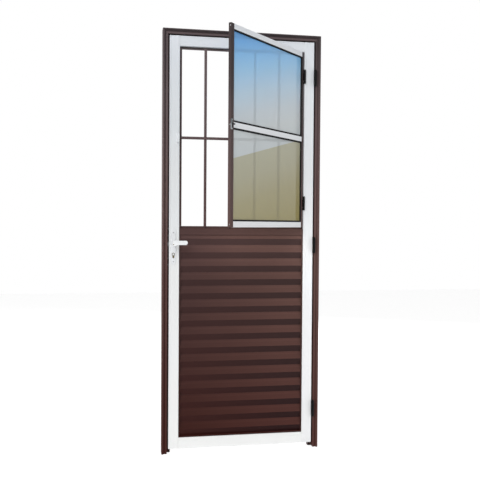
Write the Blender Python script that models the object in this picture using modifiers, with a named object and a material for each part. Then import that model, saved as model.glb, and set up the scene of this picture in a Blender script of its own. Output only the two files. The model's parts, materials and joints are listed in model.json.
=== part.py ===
"""Half-glazed aluminium door in its three-sided frame.

The leaf swings in the frame, an outward-opening glazed casement swings in the leaf's upper opening in front of a grille,
and a narrow-stile lockset works a latch bolt and a deadbolt. Metres; +Z up; -Y towards the viewer; X = 0 is the middle of
the doorway, Y = 0 the front of the frame, Z = 0 the floor. Depth runs along +Y, away from the viewer.
"""

import math

import bpy
from mathutils import Matrix, Vector

# ---- frame ----
FRAME_WIDTH = 0.800
FRAME_HEIGHT = 2.100
FRAME_DEPTH = 0.060
FRAME_WALL = 0.0014
NOSE_WIDTH = 0.0070
GROOVE_END = 0.0155
GROOVE_DEPTH = 0.0090
FLANGE_START = 0.0165
FLANGE_DEPTH = 0.0045
REBATE_FLOOR = 0.0265
STOP_DEPTH = 0.0333
STOP_REACH = 0.0440
SEAL_CENTRE = 0.0385
SEAL_WIDTH = 0.0030
SEAL_SEAT = 0.0030
CLEAT_ARM = 0.0480
CLEAT_WALL = 0.0060

# ---- gaps ----
TOUCH = 0.0003
SWING_GAP = 0.0075
FLOOR_GAP = 0.0245

# ---- leaf ----
LEAF_FRONT = 0.0070
LEAF_THICKNESS = 0.0250
LEAF_WALL = 0.0014
STILE_WIDTH = 0.0500
BOTTOM_RAIL_HEIGHT = 0.0535
BEAD_WIDTH = 0.0062
LIP_WIDTH = 0.0130
FACE_RECESS = 0.0009
MIDDLE_RAIL_TOP = 1.1197
MIDDLE_RAIL_HEIGHT = 0.0317
MIDDLE_RAIL_FRONT = 0.0130
SILL_LIP_RISE = 0.0121
LINING_WIDTH = 0.0122
LINING_FRONT = 0.0250
LINING_WALL = 0.0012

# ---- panel of corrugated planks ----
CREST_DEPTH = 0.0141
VALLEY_DEPTH = 0.0221
SHEET = 0.0013
WAVE_PITCH = 0.06807
DARK_FACET = 0.0315
TOP_CREST_DROP = 0.0187
PLANKS = 5
WAVES_PER_PLANK = 3
PLANK_LAP = 0.0080
CHANNEL_WIDTH = 0.0078
CHANNEL_FRONT = 0.0124
CHANNEL_BACK = 0.0270
CHANNEL_WALL = 0.0012

# ---- grille ----
BAR_WIDTH = 0.0136
BAR_FRONT = 0.0213
BAR_THICKNESS = 0.0085
BAR_SPACING = 0.1242
BARS = 4
CROSSBAR_HEIGHT = 1.5690

# ---- door hinges ----
DOOR_PIN_INSET = 0.0300
DOOR_PIN_PROUD = 0.0035
TOP_HINGE_DROP = 0.2136
MIDDLE_HINGE_HEIGHT = 1.0383
BOTTOM_HINGE_HEIGHT = 0.2017
DOOR_HINGE_LENGTH = 0.0810
DOOR_KNUCKLE_RADIUS = 0.0075
DOOR_PIN_RADIUS = 0.0035
DOOR_HINGE_PLATE = 0.0018
DOOR_HINGE_PLATE_DEPTH = 0.0290

# ---- casement ----
SASH_PIN_DEPTH = 0.0010
SASH_OPEN_ANGLE = 45.0
SASH_GAP = 0.0030
SASH_RISE = 0.0088
SASH_FRONT = 0.0070
SASH_THICKNESS = 0.0140
SASH_STILE_WIDTH = 0.0132
SASH_WALL = 0.0012
TOP_RAIL_HEIGHT = 0.0240
MIDDLE_SASH_RAIL_HEIGHT = 0.0242
MIDDLE_SASH_RAIL_RISE = 0.4347
BOTTOM_SASH_RAIL_HEIGHT = 0.0265
POCKET_WIDTH = 0.0090
STILE_POCKET = 0.0060
RAIL_POCKET = 0.0070
GLASS_THICKNESS = 0.0040
GASKET_SHOW = 0.0045
GASKET_LIP = 0.0066
SASH_TOP_HINGE_DROP = 0.1216
SASH_BOTTOM_HINGE_RISE = 0.1225
SASH_HINGE_LENGTH = 0.0700
SASH_KNUCKLE_RADIUS = 0.0055
SASH_PIN_RADIUS = 0.0025
SASH_HINGE_PLATE = 0.0010
SASH_HINGE_PLATE_DEPTH = 0.0190

# ---- casement catch ----
CATCH_RISE = 0.0143
CATCH_BASE = (0.0110, 0.0470, 0.0032)
CATCH_INSET = 0.0060
CATCH_LEVER = 0.0020
CATCH_HUB_RADIUS = 0.0052
TONGUE_LENGTH = 0.0180
HANDLE_LENGTH = 0.0150
CATCH_GRIP = 0.0040
KEEPER_WIDTH = 0.0150
KEEPER_DROP = 0.0345
KEEPER_RISE = 0.0125
KEEPER_WALL = 0.0016

# ---- lockset ----
LOCK_BACKSET = 0.0216
SPINDLE_HEIGHT = 1.0420
ESCUTCHEON_WIDTH = 0.0230
ESCUTCHEON_RISE = 0.0730
ESCUTCHEON_DROP = 0.0980
ESCUTCHEON_THICKNESS = 0.0030
NECK_RADIUS = 0.0078
LEVER_REACH = 0.0570
ARM_THICKNESS = 0.0110
ARM_HEIGHT = 0.0207
ARM_RISE = 0.0080
ARM_LENGTH = 0.0654
SPINDLE_SIZE = 0.0080
SPINDLE_LENGTH = 0.0890
CASE_THICKNESS = 0.0160
CASE_DEPTH = 0.0345
CASE_DROP = 0.0960
CASE_RISE = 0.0720
CASE_WALL = 0.0012
FACEPLATE = (0.0020, 0.0200, 0.2000)
BOLT_THICKNESS = 0.0120
LATCH_HEIGHT = 0.0180
LATCH_THROW = 0.0105
LATCH_PROJECTION = 0.0108
DEADBOLT_HEIGHT = 0.0160
DEADBOLT_DROP = 0.0295
DEADBOLT_LENGTH = 0.0310
CYLINDER_DROP = 0.0502
CYLINDER_RADIUS = 0.0075
CYLINDER_TAIL = 0.0045
CYLINDER_FOOT = 0.0186
CYLINDER_PROUD = 0.0020
PLUG_RADIUS = 0.0050
PLUG_CLEARANCE = 0.0001
CAM_RADIUS = 0.0100
CAM_THICKNESS = 0.0090
CAM_WIDTH = 0.0060
STRIKE = (0.0018, 0.0200, 0.1300)
STRIKE_DROP = 0.0150

# ---- derived planes and places ----
LEAF_BACK = LEAF_FRONT + LEAF_THICKNESS
LEAF_MIDDLE = (LEAF_FRONT + LEAF_BACK) / 2
LEAF_EDGE = FRAME_WIDTH / 2 - REBATE_FLOOR - SWING_GAP
LEAF_TOP = FRAME_HEIGHT - REBATE_FLOOR - SWING_GAP + 0.0006
OPENING_HALF = LEAF_EDGE - STILE_WIDTH
OPENING_TOP = LEAF_TOP - STILE_WIDTH
PANEL_FLOOR = FLOOR_GAP + BOTTOM_RAIL_HEIGHT
MIDDLE_RAIL_BOTTOM = MIDDLE_RAIL_TOP - MIDDLE_RAIL_HEIGHT
SILL_LIP_TOP = MIDDLE_RAIL_TOP + SILL_LIP_RISE
TOP_CREST = MIDDLE_RAIL_BOTTOM - TOP_CREST_DROP
BAR_BACK = BAR_FRONT + BAR_THICKNESS
SASH_BOTTOM = MIDDLE_RAIL_TOP + SASH_RISE
MIDDLE_SASH_RAIL_BOTTOM = SASH_BOTTOM + MIDDLE_SASH_RAIL_RISE
SASH_EDGE = OPENING_HALF - SASH_GAP
SASH_TOP = OPENING_TOP - SASH_GAP
SASH_BACK = SASH_FRONT + SASH_THICKNESS
SASH_MIDDLE = (SASH_FRONT + SASH_BACK) / 2
SASH_RAIL_END = SASH_EDGE - SASH_STILE_WIDTH - TOUCH
FACE_LIP = LEAF_FRONT
FACE_OF_PLATE = LEAF_FRONT + FACE_RECESS - TOUCH
BACK_OF_PLATE = LEAF_BACK - FACE_RECESS + TOUCH
DOOR_HINGE_AXIS = (FRAME_WIDTH / 2 - DOOR_PIN_INSET, -DOOR_PIN_PROUD)
DOOR_HINGE_HEIGHTS = (FRAME_HEIGHT - TOP_HINGE_DROP, MIDDLE_HINGE_HEIGHT, BOTTOM_HINGE_HEIGHT)
SASH_AXIS = (OPENING_HALF, SASH_PIN_DEPTH)
SASH_HINGE_HEIGHTS = (SASH_TOP - SASH_TOP_HINGE_DROP, SASH_BOTTOM + SASH_BOTTOM_HINGE_RISE)
CATCH_HEIGHT = MIDDLE_SASH_RAIL_BOTTOM + CATCH_RISE
KEEPER_BOTTOM = CATCH_HEIGHT - KEEPER_DROP
KEEPER_TOP = CATCH_HEIGHT + KEEPER_RISE
LOCK_X = LOCK_BACKSET - LEAF_EDGE
ESCUTCHEON_TOP = SPINDLE_HEIGHT + ESCUTCHEON_RISE
ESCUTCHEON_BOTTOM = SPINDLE_HEIGHT - ESCUTCHEON_DROP
ARM_CENTRE = SPINDLE_HEIGHT + ARM_RISE
ARM_TIP = LOCK_X + ARM_LENGTH
CASE_TOP = SPINDLE_HEIGHT + CASE_RISE
CASE_BOTTOM = SPINDLE_HEIGHT - CASE_DROP
DEADBOLT_CENTRE = SPINDLE_HEIGHT - DEADBOLT_DROP
CYLINDER_CENTRE = SPINDLE_HEIGHT - CYLINDER_DROP
CYLINDER_BOTTOM = CYLINDER_CENTRE - CYLINDER_FOOT
STRIKE_CENTRE = SPINDLE_HEIGHT - STRIKE_DROP

# ---- colours ----
BROWN = (0.085, 0.045, 0.040)
PANEL_BROWN = (0.095, 0.040, 0.034)
WHITE = (0.86, 0.87, 0.88)
BLACK = (0.012, 0.012, 0.013)
STEEL = (0.55, 0.55, 0.56)
BRASS = (0.62, 0.47, 0.22)
GLASS = (0.75, 0.83, 0.88)

AXES = {
    "X": Matrix(((0, 0, 1, 0), (1, 0, 0, 0), (0, 1, 0, 0), (0, 0, 0, 1))),
    "Y": Matrix(((0, 1, 0, 0), (0, 0, 1, 0), (1, 0, 0, 0), (0, 0, 0, 1))),
    "Z": Matrix.Identity(4),
}


def clear_scene():
    for obj in list(bpy.data.objects):
        bpy.data.objects.remove(obj, do_unlink=True)


def new_collection(name):
    found = bpy.data.collections.new(name)
    bpy.context.scene.collection.children.link(found)
    return found


def link(obj, collection):
    for owner in list(obj.users_collection):
        owner.objects.unlink(obj)
    collection.objects.link(obj)
    return obj


def finish(name, color, metallic, roughness, alpha=1.0):
    """A plain Principled material of its own for one piece."""
    material = bpy.data.materials.new(name)
    material.use_nodes = True
    shader = material.node_tree.nodes["Principled BSDF"]
    shader.inputs["Base Color"].default_value = (*color, 1.0)
    shader.inputs["Metallic"].default_value = metallic
    shader.inputs["Roughness"].default_value = roughness
    shader.inputs["Alpha"].default_value = alpha
    return material


def rounded(corners, steps=4):
    """A closed outline from (a, b, radius) corners, each corner with a radius turned into an arc."""
    outline = []
    for index, (x, y, radius) in enumerate(corners):
        if radius == 0:
            outline.append((x, y))
            continue
        x0, y0, _ = corners[index - 1]
        x1, y1, _ = corners[(index + 1) % len(corners)]
        in_angle = math.atan2(y0 - y, x0 - x)
        out_angle = math.atan2(y1 - y, x1 - x)
        turn = (out_angle - in_angle + math.pi) % (2 * math.pi) - math.pi
        reach = radius / math.tan(abs(turn) / 2)
        middle = in_angle + turn / 2
        centre_distance = radius / math.sin(abs(turn) / 2)
        cx = x + centre_distance * math.cos(middle)
        cy = y + centre_distance * math.sin(middle)
        start = math.atan2(y + reach * math.sin(in_angle) - cy, x + reach * math.cos(in_angle) - cx)
        sweep = math.atan2(y + reach * math.sin(out_angle) - cy, x + reach * math.cos(out_angle) - cx) - start
        sweep = (sweep + math.pi) % (2 * math.pi) - math.pi
        for step in range(steps + 1):
            angle = start + sweep * step / steps
            outline.append((cx + radius * math.cos(angle), cy + radius * math.sin(angle)))
    return outline


def box_outline(a0, a1, b0, b1, radius=0.0, steps=4):
    return rounded([(a0, b0, radius), (a1, b0, radius), (a1, b1, radius), (a0, b1, radius)], steps)


def circle_outline(a, b, radius, sides=30):
    turns = [2 * math.pi * (k + 0.5) / sides for k in range(sides)]
    return [(a + radius * math.cos(turn), b + radius * math.sin(turn)) for turn in turns]


def profile_mesh(name, axis, loops, start, stop):
    """A straight extrusion of one outline with its hollows, along an axis, from start to stop.

    The outline's two coordinates are (X, Y) for axis Z, (Y, Z) for axis X and (Z, X) for axis Y.
    """
    curve = bpy.data.curves.new(name, "CURVE")
    curve.dimensions = "2D"
    curve.fill_mode = "BOTH"
    curve.extrude = (stop - start) / 2
    for loop in loops:
        spline = curve.splines.new("POLY")
        spline.points.add(len(loop) - 1)
        for point, (a, b) in zip(spline.points, loop):
            point.co = (a, b, 0.0, 1.0)
        spline.use_cyclic_u = True
    holder = bpy.data.objects.new(name, curve)
    bpy.context.scene.collection.objects.link(holder)
    holder.matrix_world = AXES[axis] @ Matrix.Translation((0, 0, (start + stop) / 2))
    bpy.context.view_layer.update()
    return to_mesh(holder)


def to_mesh(holder):
    """The evaluated shape of an object as a plain welded mesh in world coordinates."""
    evaluated = holder.evaluated_get(bpy.context.evaluated_depsgraph_get())
    mesh = bpy.data.meshes.new_from_object(evaluated)
    mesh.transform(holder.matrix_world)
    data = holder.data
    bpy.data.objects.remove(holder, do_unlink=True)
    if isinstance(data, bpy.types.Curve):
        bpy.data.curves.remove(data)
    obj = bpy.data.objects.new("solid", mesh)
    bpy.context.scene.collection.objects.link(obj)
    weld(obj)
    return obj


def weld(obj):
    bpy.ops.object.select_all(action="DESELECT")
    obj.select_set(True)
    bpy.context.view_layer.objects.active = obj
    bpy.ops.object.mode_set(mode="EDIT")
    bpy.ops.mesh.select_all(action="SELECT")
    bpy.ops.mesh.remove_doubles(threshold=0.000002)
    bpy.ops.mesh.normals_make_consistent(inside=False)
    bpy.ops.object.mode_set(mode="OBJECT")


def solid(axis, loops, start, stop):
    return profile_mesh("solid", axis, loops, start, stop)


def block(x0, x1, y0, y1, z0, z1):
    return solid("Z", [box_outline(x0, x1, y0, y1)], z0, z1)


def turned(profile, sides=24):
    """A solid of revolution about Z from (radius, z) points that run down its outer +X side."""
    mesh = bpy.data.meshes.new("turned")
    points = [(radius, 0.0, z) for radius, z in profile]
    mesh.from_pydata(points, [(k, k + 1) for k in range(len(points) - 1)], [])
    holder = bpy.data.objects.new("turned", mesh)
    bpy.context.scene.collection.objects.link(holder)
    screw = holder.modifiers.new("turn", "SCREW")
    screw.angle = 2 * math.pi
    screw.steps = sides
    screw.render_steps = sides
    screw.use_merge_vertices = True
    screw.merge_threshold = 0.00001
    bpy.context.view_layer.update()
    return to_mesh(holder)


def moved(obj, x=0.0, y=0.0, z=0.0, turn=None):
    if turn is not None:
        obj.data.transform(turn)
    obj.data.transform(Matrix.Translation((x, y, z)))
    return obj


def combine(obj, other, operation):
    """Joins, cuts or intersects two solids at once and keeps one welded mesh."""
    modifier = obj.modifiers.new(operation.lower(), "BOOLEAN")
    modifier.operation = operation
    modifier.solver = "EXACT"
    modifier.object = other
    bpy.context.view_layer.update()
    evaluated = obj.evaluated_get(bpy.context.evaluated_depsgraph_get())
    mesh = bpy.data.meshes.new_from_object(evaluated)
    obj.modifiers.clear()
    obj.data = mesh
    bpy.data.objects.remove(other, do_unlink=True)
    weld(obj)
    return obj


def joined(obj, *others):
    for other in others:
        combine(obj, other, "UNION")
    return obj


def cut(obj, *others):
    """Live cuts, with their wire cutters kept in the cutters' collection."""
    for other in others:
        other.name = "cutter"
        other.display_type = "WIRE"
        other.hide_render = True
        link(other, CUTTERS)
        modifier = obj.modifiers.new("cut", "BOOLEAN")
        modifier.operation = "DIFFERENCE"
        modifier.solver = "EXACT"
        modifier.object = other
    return obj


def soften(obj, width, segments=2, angle=40.0):
    bevel = obj.modifiers.new("edges", "BEVEL")
    bevel.width = width
    bevel.segments = segments
    bevel.limit_method = "ANGLE"
    bevel.angle_limit = math.radians(angle)
    bevel.use_clamp_overlap = True
    return obj


def joint_axis(name, location, parent=None, turn=0.0):
    """An empty on a joint's axis. Its place is given for the shut door; a turn stands it open."""
    empty = bpy.data.objects.new(name, None)
    empty.empty_display_size = 0.05
    link(empty, DOOR)
    base = Vector((0, 0, 0))
    if parent is not None:
        empty.parent = parent
        base = SHUT_PLACES[parent.name]
    empty.location = Vector(location) - base
    empty.rotation_euler = (0, 0, math.radians(turn))
    SHUT_PLACES[name] = Vector(location)
    return empty


def hang(obj, joint):
    """Gives an object modelled in its shut place an origin on the joint's axis."""
    obj.data.transform(Matrix.Translation(-SHUT_PLACES[joint.name]))
    obj.parent = joint


def piece(name, obj, joint, color, metallic=0.0, roughness=0.5, alpha=1.0):
    """Names a finished solid, gives it its material and hangs it and its cutters on its joint."""
    obj.name = name
    obj.data.name = name
    obj.data.materials.clear()
    obj.data.materials.append(finish(name, color, metallic, roughness, alpha))
    link(obj, DOOR)
    if joint is not None:
        hang(obj, joint)
        for modifier in obj.modifiers:
            if modifier.type == "BOOLEAN":
                hang(modifier.object, joint)
    return obj


def brown(name, obj, joint=None):
    return piece(name, obj, joint, BROWN, 0.2, 0.45)


def white(name, obj, joint=None):
    return piece(name, obj, joint, WHITE, 0.0, 0.35)


def black(name, obj, joint=None):
    return piece(name, obj, joint, BLACK, 0.0, 0.5)


def steel(name, obj, joint=None):
    return piece(name, obj, joint, STEEL, 1.0, 0.35)


# ---------------------------------------------------------------- frame

def frame_section():
    """Outline and two hollows of the frame extrusion: (across from the wall side, depth)."""
    wall = FRAME_WALL
    floor = REBATE_FLOOR
    slope = wall / math.cos(math.atan2(GROOVE_END - NOSE_WIDTH, GROOVE_DEPTH))
    seat = SEAL_WIDTH / 2 + TOUCH
    outline = rounded([
        (0.0, FRAME_DEPTH, 0.0),
        (0.0, 0.0, 0.0028),
        (NOSE_WIDTH, 0.0, 0.0014),
        (GROOVE_END, GROOVE_DEPTH, 0.0),
        (FLANGE_START, GROOVE_DEPTH, 0.0),
        (FLANGE_START, FLANGE_DEPTH, 0.0008),
        (floor, FLANGE_DEPTH, 0.0012),
        (floor, STOP_DEPTH, 0.0),
        (SEAL_CENTRE - seat, STOP_DEPTH, 0.0),
        (SEAL_CENTRE - seat, STOP_DEPTH + SEAL_SEAT, 0.0),
        (SEAL_CENTRE + seat, STOP_DEPTH + SEAL_SEAT, 0.0),
        (SEAL_CENTRE + seat, STOP_DEPTH, 0.0),
        (STOP_REACH, STOP_DEPTH, 0.0010),
        (STOP_REACH, FRAME_DEPTH, 0.0),
    ])
    back = FRAME_DEPTH - wall
    run = (GROOVE_END - NOSE_WIDTH) / GROOVE_DEPTH
    main_hollow = [
        (wall, back),
        (wall, wall),
        (NOSE_WIDTH - slope + run * wall, wall),
        (NOSE_WIDTH - slope + run * (GROOVE_DEPTH + wall), GROOVE_DEPTH + wall),
        (FLANGE_START + wall, GROOVE_DEPTH + wall),
        (FLANGE_START + wall, FLANGE_DEPTH + wall),
        (floor - wall, FLANGE_DEPTH + wall),
        (floor - wall, back),
    ]
    stop_hollow = [
        (floor, back),
        (floor, STOP_DEPTH + wall),
        (SEAL_CENTRE - seat - wall, STOP_DEPTH + wall),
        (SEAL_CENTRE - seat - wall, STOP_DEPTH + SEAL_SEAT + wall),
        (STOP_REACH - wall, STOP_DEPTH + SEAL_SEAT + wall),
        (STOP_REACH - wall, back),
    ]
    return [outline, main_hollow, stop_hollow]


def mitre_wedge(side, keeps_jamb):
    """The wedge past a top corner's 45 degree joint line: cuts the jamb when keeps_jamb, else the head."""
    slack = TOUCH / math.sqrt(2)
    near = -0.010
    far = STOP_REACH + 0.010
    if keeps_jamb:
        corners = [(near, near + slack), (far, far + slack), (far, -0.020), (near, -0.020)]
    else:
        corners = [(near + slack, near), (far + slack, far), (-0.020, far), (-0.020, near)]
    half = FRAME_WIDTH / 2
    outline = [(FRAME_HEIGHT - down, side * (half - across)) for across, down in corners]
    return solid("Y", [outline], -0.010, FRAME_DEPTH + 0.010)


def jamb(side):
    half = FRAME_WIDTH / 2
    loops = [[(side * (half - u), v) for u, v in loop] for loop in frame_section()]
    return cut(solid("Z", loops, 0.0, FRAME_HEIGHT), mitre_wedge(side, True))


def bolt_window(height, centre, slack):
    """A cutter through the lock jamb's rebate floor for one bolt."""
    x = REBATE_FLOOR - FRAME_WIDTH / 2
    y = BOLT_THICKNESS / 2 + slack
    z = height / 2 + slack
    return block(x - 0.004, x + 0.004, LEAF_MIDDLE - y, LEAF_MIDDLE + y, centre - z, centre + z)


def make_frame():
    lock_jamb = jamb(-1)
    cut(lock_jamb, bolt_window(LATCH_HEIGHT, SPINDLE_HEIGHT, 0.0012))
    cut(lock_jamb, bolt_window(DEADBOLT_HEIGHT, DEADBOLT_CENTRE, 0.0012))
    brown("frame_jamb_lock_side", lock_jamb)
    brown("frame_jamb_hinge_side", jamb(1))
    half = FRAME_WIDTH / 2
    head_loops = [[(v, FRAME_HEIGHT - u) for u, v in loop] for loop in frame_section()]
    head = solid("X", head_loops, -half, half)
    cut(head, mitre_wedge(-1, False), mitre_wedge(1, False))
    brown("frame_head", head)
    make_cleat("corner_cleat_lock_side", -1)
    make_cleat("corner_cleat_hinge_side", 1)
    make_seal()
    make_strike()


def make_cleat(name, side):
    """The L-shaped corner piece inside the frame's main hollow, holding a mitre together."""
    near = FRAME_WALL + TOUCH
    inner = near + CLEAT_WALL
    brace = inner + 0.010
    corners = [
        (near, near),
        (CLEAT_ARM, near),
        (CLEAT_ARM, inner),
        (brace, inner),
        (inner, brace),
        (inner, CLEAT_ARM),
        (near, CLEAT_ARM),
    ]
    outline = [(FRAME_HEIGHT - down, side * (FRAME_WIDTH / 2 - across)) for across, down in corners]
    front = GROOVE_DEPTH + FRAME_WALL + 0.002
    cleat = solid("Y", [outline], front, FRAME_DEPTH - FRAME_WALL - TOUCH)
    steel(name, cleat)


def make_seal():
    """One soft strip seated in the stop's groove along both jambs and the head."""
    inner = SEAL_CENTRE + SEAL_WIDTH / 2
    outer = SEAL_CENTRE - SEAL_WIDTH / 2
    half = FRAME_WIDTH / 2
    outline = [
        (0.0, -half + outer),
        (FRAME_HEIGHT - outer, -half + outer),
        (FRAME_HEIGHT - outer, half - outer),
        (0.0, half - outer),
        (0.0, half - inner),
        (FRAME_HEIGHT - inner, half - inner),
        (FRAME_HEIGHT - inner, -half + inner),
        (0.0, -half + inner),
    ]
    seal = solid("Y", [outline], LEAF_BACK + TOUCH, STOP_DEPTH + SEAL_SEAT - TOUCH)
    black("frame_seal", seal)


def make_strike():
    thickness, width, height = STRIKE
    wide = BOLT_THICKNESS / 2 + 0.0008
    y = LEAF_MIDDLE
    loops = [box_outline(y - width / 2, y + width / 2, STRIKE_CENTRE - height / 2, STRIKE_CENTRE + height / 2, 0.003)]
    for tall, centre in ((LATCH_HEIGHT, SPINDLE_HEIGHT), (DEADBOLT_HEIGHT, DEADBOLT_CENTRE)):
        reach = tall / 2 + 0.0008
        loops.append(box_outline(y - wide, y + wide, centre - reach, centre + reach))
    seat = REBATE_FLOOR - FRAME_WIDTH / 2 + TOUCH
    steel("strike_plate", solid("X", loops, seat, seat + thickness))


# ---------------------------------------------------------------- leaf

def face_section(width):
    """Outline and hollow of a leaf profile of this width: (across from its outer edge, depth)."""
    front = LEAF_FRONT
    back = LEAF_BACK
    low_front = front + FACE_RECESS
    low_back = back - FACE_RECESS
    step = 0.0008
    half = [
        (0.0, front, 0.0018),
        (BEAD_WIDTH, front, 0.0006),
        (BEAD_WIDTH + step, low_front, 0.0),
        (width - LIP_WIDTH - step, low_front, 0.0),
        (width - LIP_WIDTH, front, 0.0006),
        (width, front, 0.0016),
        (width, back, 0.0016),
        (width - LIP_WIDTH, back, 0.0006),
        (width - LIP_WIDTH - step, low_back, 0.0),
        (BEAD_WIDTH + step, low_back, 0.0),
        (BEAD_WIDTH, back, 0.0006),
        (0.0, back, 0.0018),
    ]
    wall = LEAF_WALL
    hollow = box_outline(wall, width - wall, low_front + wall, low_back - wall)
    return [rounded(half), hollow]


def leaf_stile(side):
    loops = [[(side * (LEAF_EDGE - u), v) for u, v in loop] for loop in face_section(STILE_WIDTH)]
    return solid("Z", loops, FLOOR_GAP, LEAF_TOP)


def leaf_rail(width, outer_edge, inward):
    loops = [[(v, outer_edge + inward * u) for u, v in loop] for loop in face_section(width)]
    end = OPENING_HALF - TOUCH
    return solid("X", loops, -end, end)


def lock_hole(front, back):
    """Cutters for the spindle neck and the cylinder through the lock stile's faces."""
    spindle = solid("Y", [circle_outline(SPINDLE_HEIGHT, LOCK_X, NECK_RADIUS - 0.0008)], front, back)
    cylinder = solid("Y", [cylinder_outline(TOUCH)], front, back)
    return spindle, cylinder


def cylinder_outline(slack=0.0):
    """The lock cylinder's keyhole-shaped outline, (Z, X), widened by a slack."""
    radius = CYLINDER_RADIUS + slack
    tail = CYLINDER_TAIL + slack
    low = CYLINDER_BOTTOM - slack
    shoulder = math.asin(tail / radius)
    outline = []
    for step in range(19):
        angle = -math.pi + shoulder + (2 * math.pi - 2 * shoulder) * step / 18
        outline.append((CYLINDER_CENTRE + radius * math.cos(angle), LOCK_X + radius * math.sin(angle)))
    for step in range(7):
        angle = math.pi / 2 + math.pi * step / 6
        outline.append((low + tail + tail * math.cos(angle), LOCK_X + tail * math.sin(angle)))
    return outline


def make_leaf(leaf):
    lock_stile = leaf_stile(-1)
    edge = -LEAF_EDGE
    half = CASE_THICKNESS / 2 + TOUCH
    cut(lock_stile, block(
        edge - 0.002, edge + 0.004, LEAF_MIDDLE - half, LEAF_MIDDLE + half, CASE_BOTTOM - TOUCH, CASE_TOP + TOUCH,
    ))
    cut(lock_stile, *lock_hole(LEAF_FRONT - 0.01, LEAF_BACK + 0.01))
    white("leaf_stile_lock_side", lock_stile, leaf)
    white("leaf_stile_hinge_side", leaf_stile(1), leaf)
    white("leaf_top_rail", leaf_rail(STILE_WIDTH, LEAF_TOP, -1), leaf)
    white("leaf_bottom_rail", leaf_rail(BOTTOM_RAIL_HEIGHT, FLOOR_GAP, 1), leaf)
    make_middle_rail(leaf)
    make_lining(leaf)
    make_grille(leaf)
    make_panel(leaf)


def bar_places():
    return [BAR_SPACING * (k - (BARS - 1) / 2) for k in range(BARS)]


def bar_notch(x, z0, z1):
    """A cutter that lets an upright bar pass in front of a lip."""
    half = BAR_WIDTH / 2 + TOUCH
    return block(x - half, x + half, LINING_FRONT - 0.002, BAR_BACK + TOUCH, z0, z1)


def make_middle_rail(leaf):
    front = MIDDLE_RAIL_FRONT
    back = LEAF_BACK - FACE_RECESS
    low = MIDDLE_RAIL_BOTTOM
    top = MIDDLE_RAIL_TOP
    slot_front = CREST_DEPTH + 0.0004
    slot_back = VALLEY_DEPTH + SHEET + 0.0009
    slot_top = low + 0.0075
    wall = LEAF_WALL
    outline = rounded([
        (front, low, 0.0006),
        (slot_front, low, 0.0),
        (slot_front, slot_top, 0.0),
        (slot_back, slot_top, 0.0),
        (slot_back, low, 0.0),
        (back, low, 0.0006),
        (back, SILL_LIP_TOP, 0.0008),
        (LINING_FRONT, SILL_LIP_TOP, 0.0008),
        (LINING_FRONT, top, 0.0),
        (front, top, 0.0010),
    ])
    hollow = box_outline(front + wall, back - wall, slot_top + wall, top - wall)
    end = OPENING_HALF - TOUCH
    rail = solid("X", [outline, hollow], -end, end)
    for x in bar_places():
        cut(rail, bar_notch(x, top + 0.0002, SILL_LIP_TOP + 0.004))
    brown("leaf_middle_rail", rail, leaf)


def lining_section(outer):
    """A small hollow box lip: (across from the opening's edge, depth)."""
    wall = LINING_WALL
    back = LEAF_BACK - FACE_RECESS
    return [
        box_outline(outer, LINING_WIDTH, LINING_FRONT, back, 0.0008, 3),
        box_outline(outer + wall, LINING_WIDTH - wall, LINING_FRONT + wall, back - wall),
    ]


def make_lining(leaf):
    section = lining_section(TOUCH)
    crossbar_half = BAR_WIDTH / 2 + TOUCH
    for name, side in (("lining_lock_side", -1), ("lining_hinge_side", 1)):
        loops = [[(side * (OPENING_HALF - u), v) for u, v in loop] for loop in section]
        strip = solid("Z", loops, SILL_LIP_TOP + TOUCH, OPENING_TOP - TOUCH)
        x = side * OPENING_HALF
        cut(strip, block(
            min(x, x - side * 0.03), max(x, x - side * 0.03), LINING_FRONT - 0.002, BAR_BACK + TOUCH,
            CROSSBAR_HEIGHT - crossbar_half, CROSSBAR_HEIGHT + crossbar_half,
        ))
        brown(name, strip, leaf)
    loops = [[(v, OPENING_TOP - u) for u, v in loop] for loop in section]
    end = OPENING_HALF - LINING_WIDTH - TOUCH
    strip = solid("X", loops, -end, end)
    for x in bar_places():
        cut(strip, bar_notch(x, OPENING_TOP - 0.03, OPENING_TOP + 0.004))
    brown("lining_top", strip, leaf)


def make_grille(leaf):
    lap = BAR_FRONT + BAR_THICKNESS / 2
    half = BAR_WIDTH / 2
    for number, x in enumerate(bar_places(), 1):
        section = box_outline(x - half, x + half, BAR_FRONT, BAR_BACK, 0.0032, 4)
        bar = solid("Z", [section], MIDDLE_RAIL_TOP + TOUCH, OPENING_TOP - TOUCH)
        cut(bar, block(
            x - 0.02, x + 0.02, BAR_FRONT - 0.004, lap,
            CROSSBAR_HEIGHT - half - TOUCH, CROSSBAR_HEIGHT + half + TOUCH,
        ))
        brown(f"grille_bar_{number}", bar, leaf)
    section = box_outline(BAR_FRONT, BAR_BACK, CROSSBAR_HEIGHT - half, CROSSBAR_HEIGHT + half, 0.0032, 4)
    end = OPENING_HALF - TOUCH
    crossbar = solid("X", [section], -end, end)
    for x in bar_places():
        cut(crossbar, block(
            x - half - TOUCH, x + half + TOUCH, lap - TOUCH, BAR_BACK + 0.004,
            CROSSBAR_HEIGHT - 0.02, CROSSBAR_HEIGHT + 0.02,
        ))
    brown("grille_crossbar", crossbar, leaf)


def wave_depth(z):
    """Depth of the corrugated sheet's front at a height."""
    down = (TOP_CREST - z) % WAVE_PITCH
    if down <= DARK_FACET:
        share = down / DARK_FACET
    else:
        share = (WAVE_PITCH - down) / (WAVE_PITCH - DARK_FACET)
    return CREST_DEPTH + (VALLEY_DEPTH - CREST_DEPTH) * share


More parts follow.
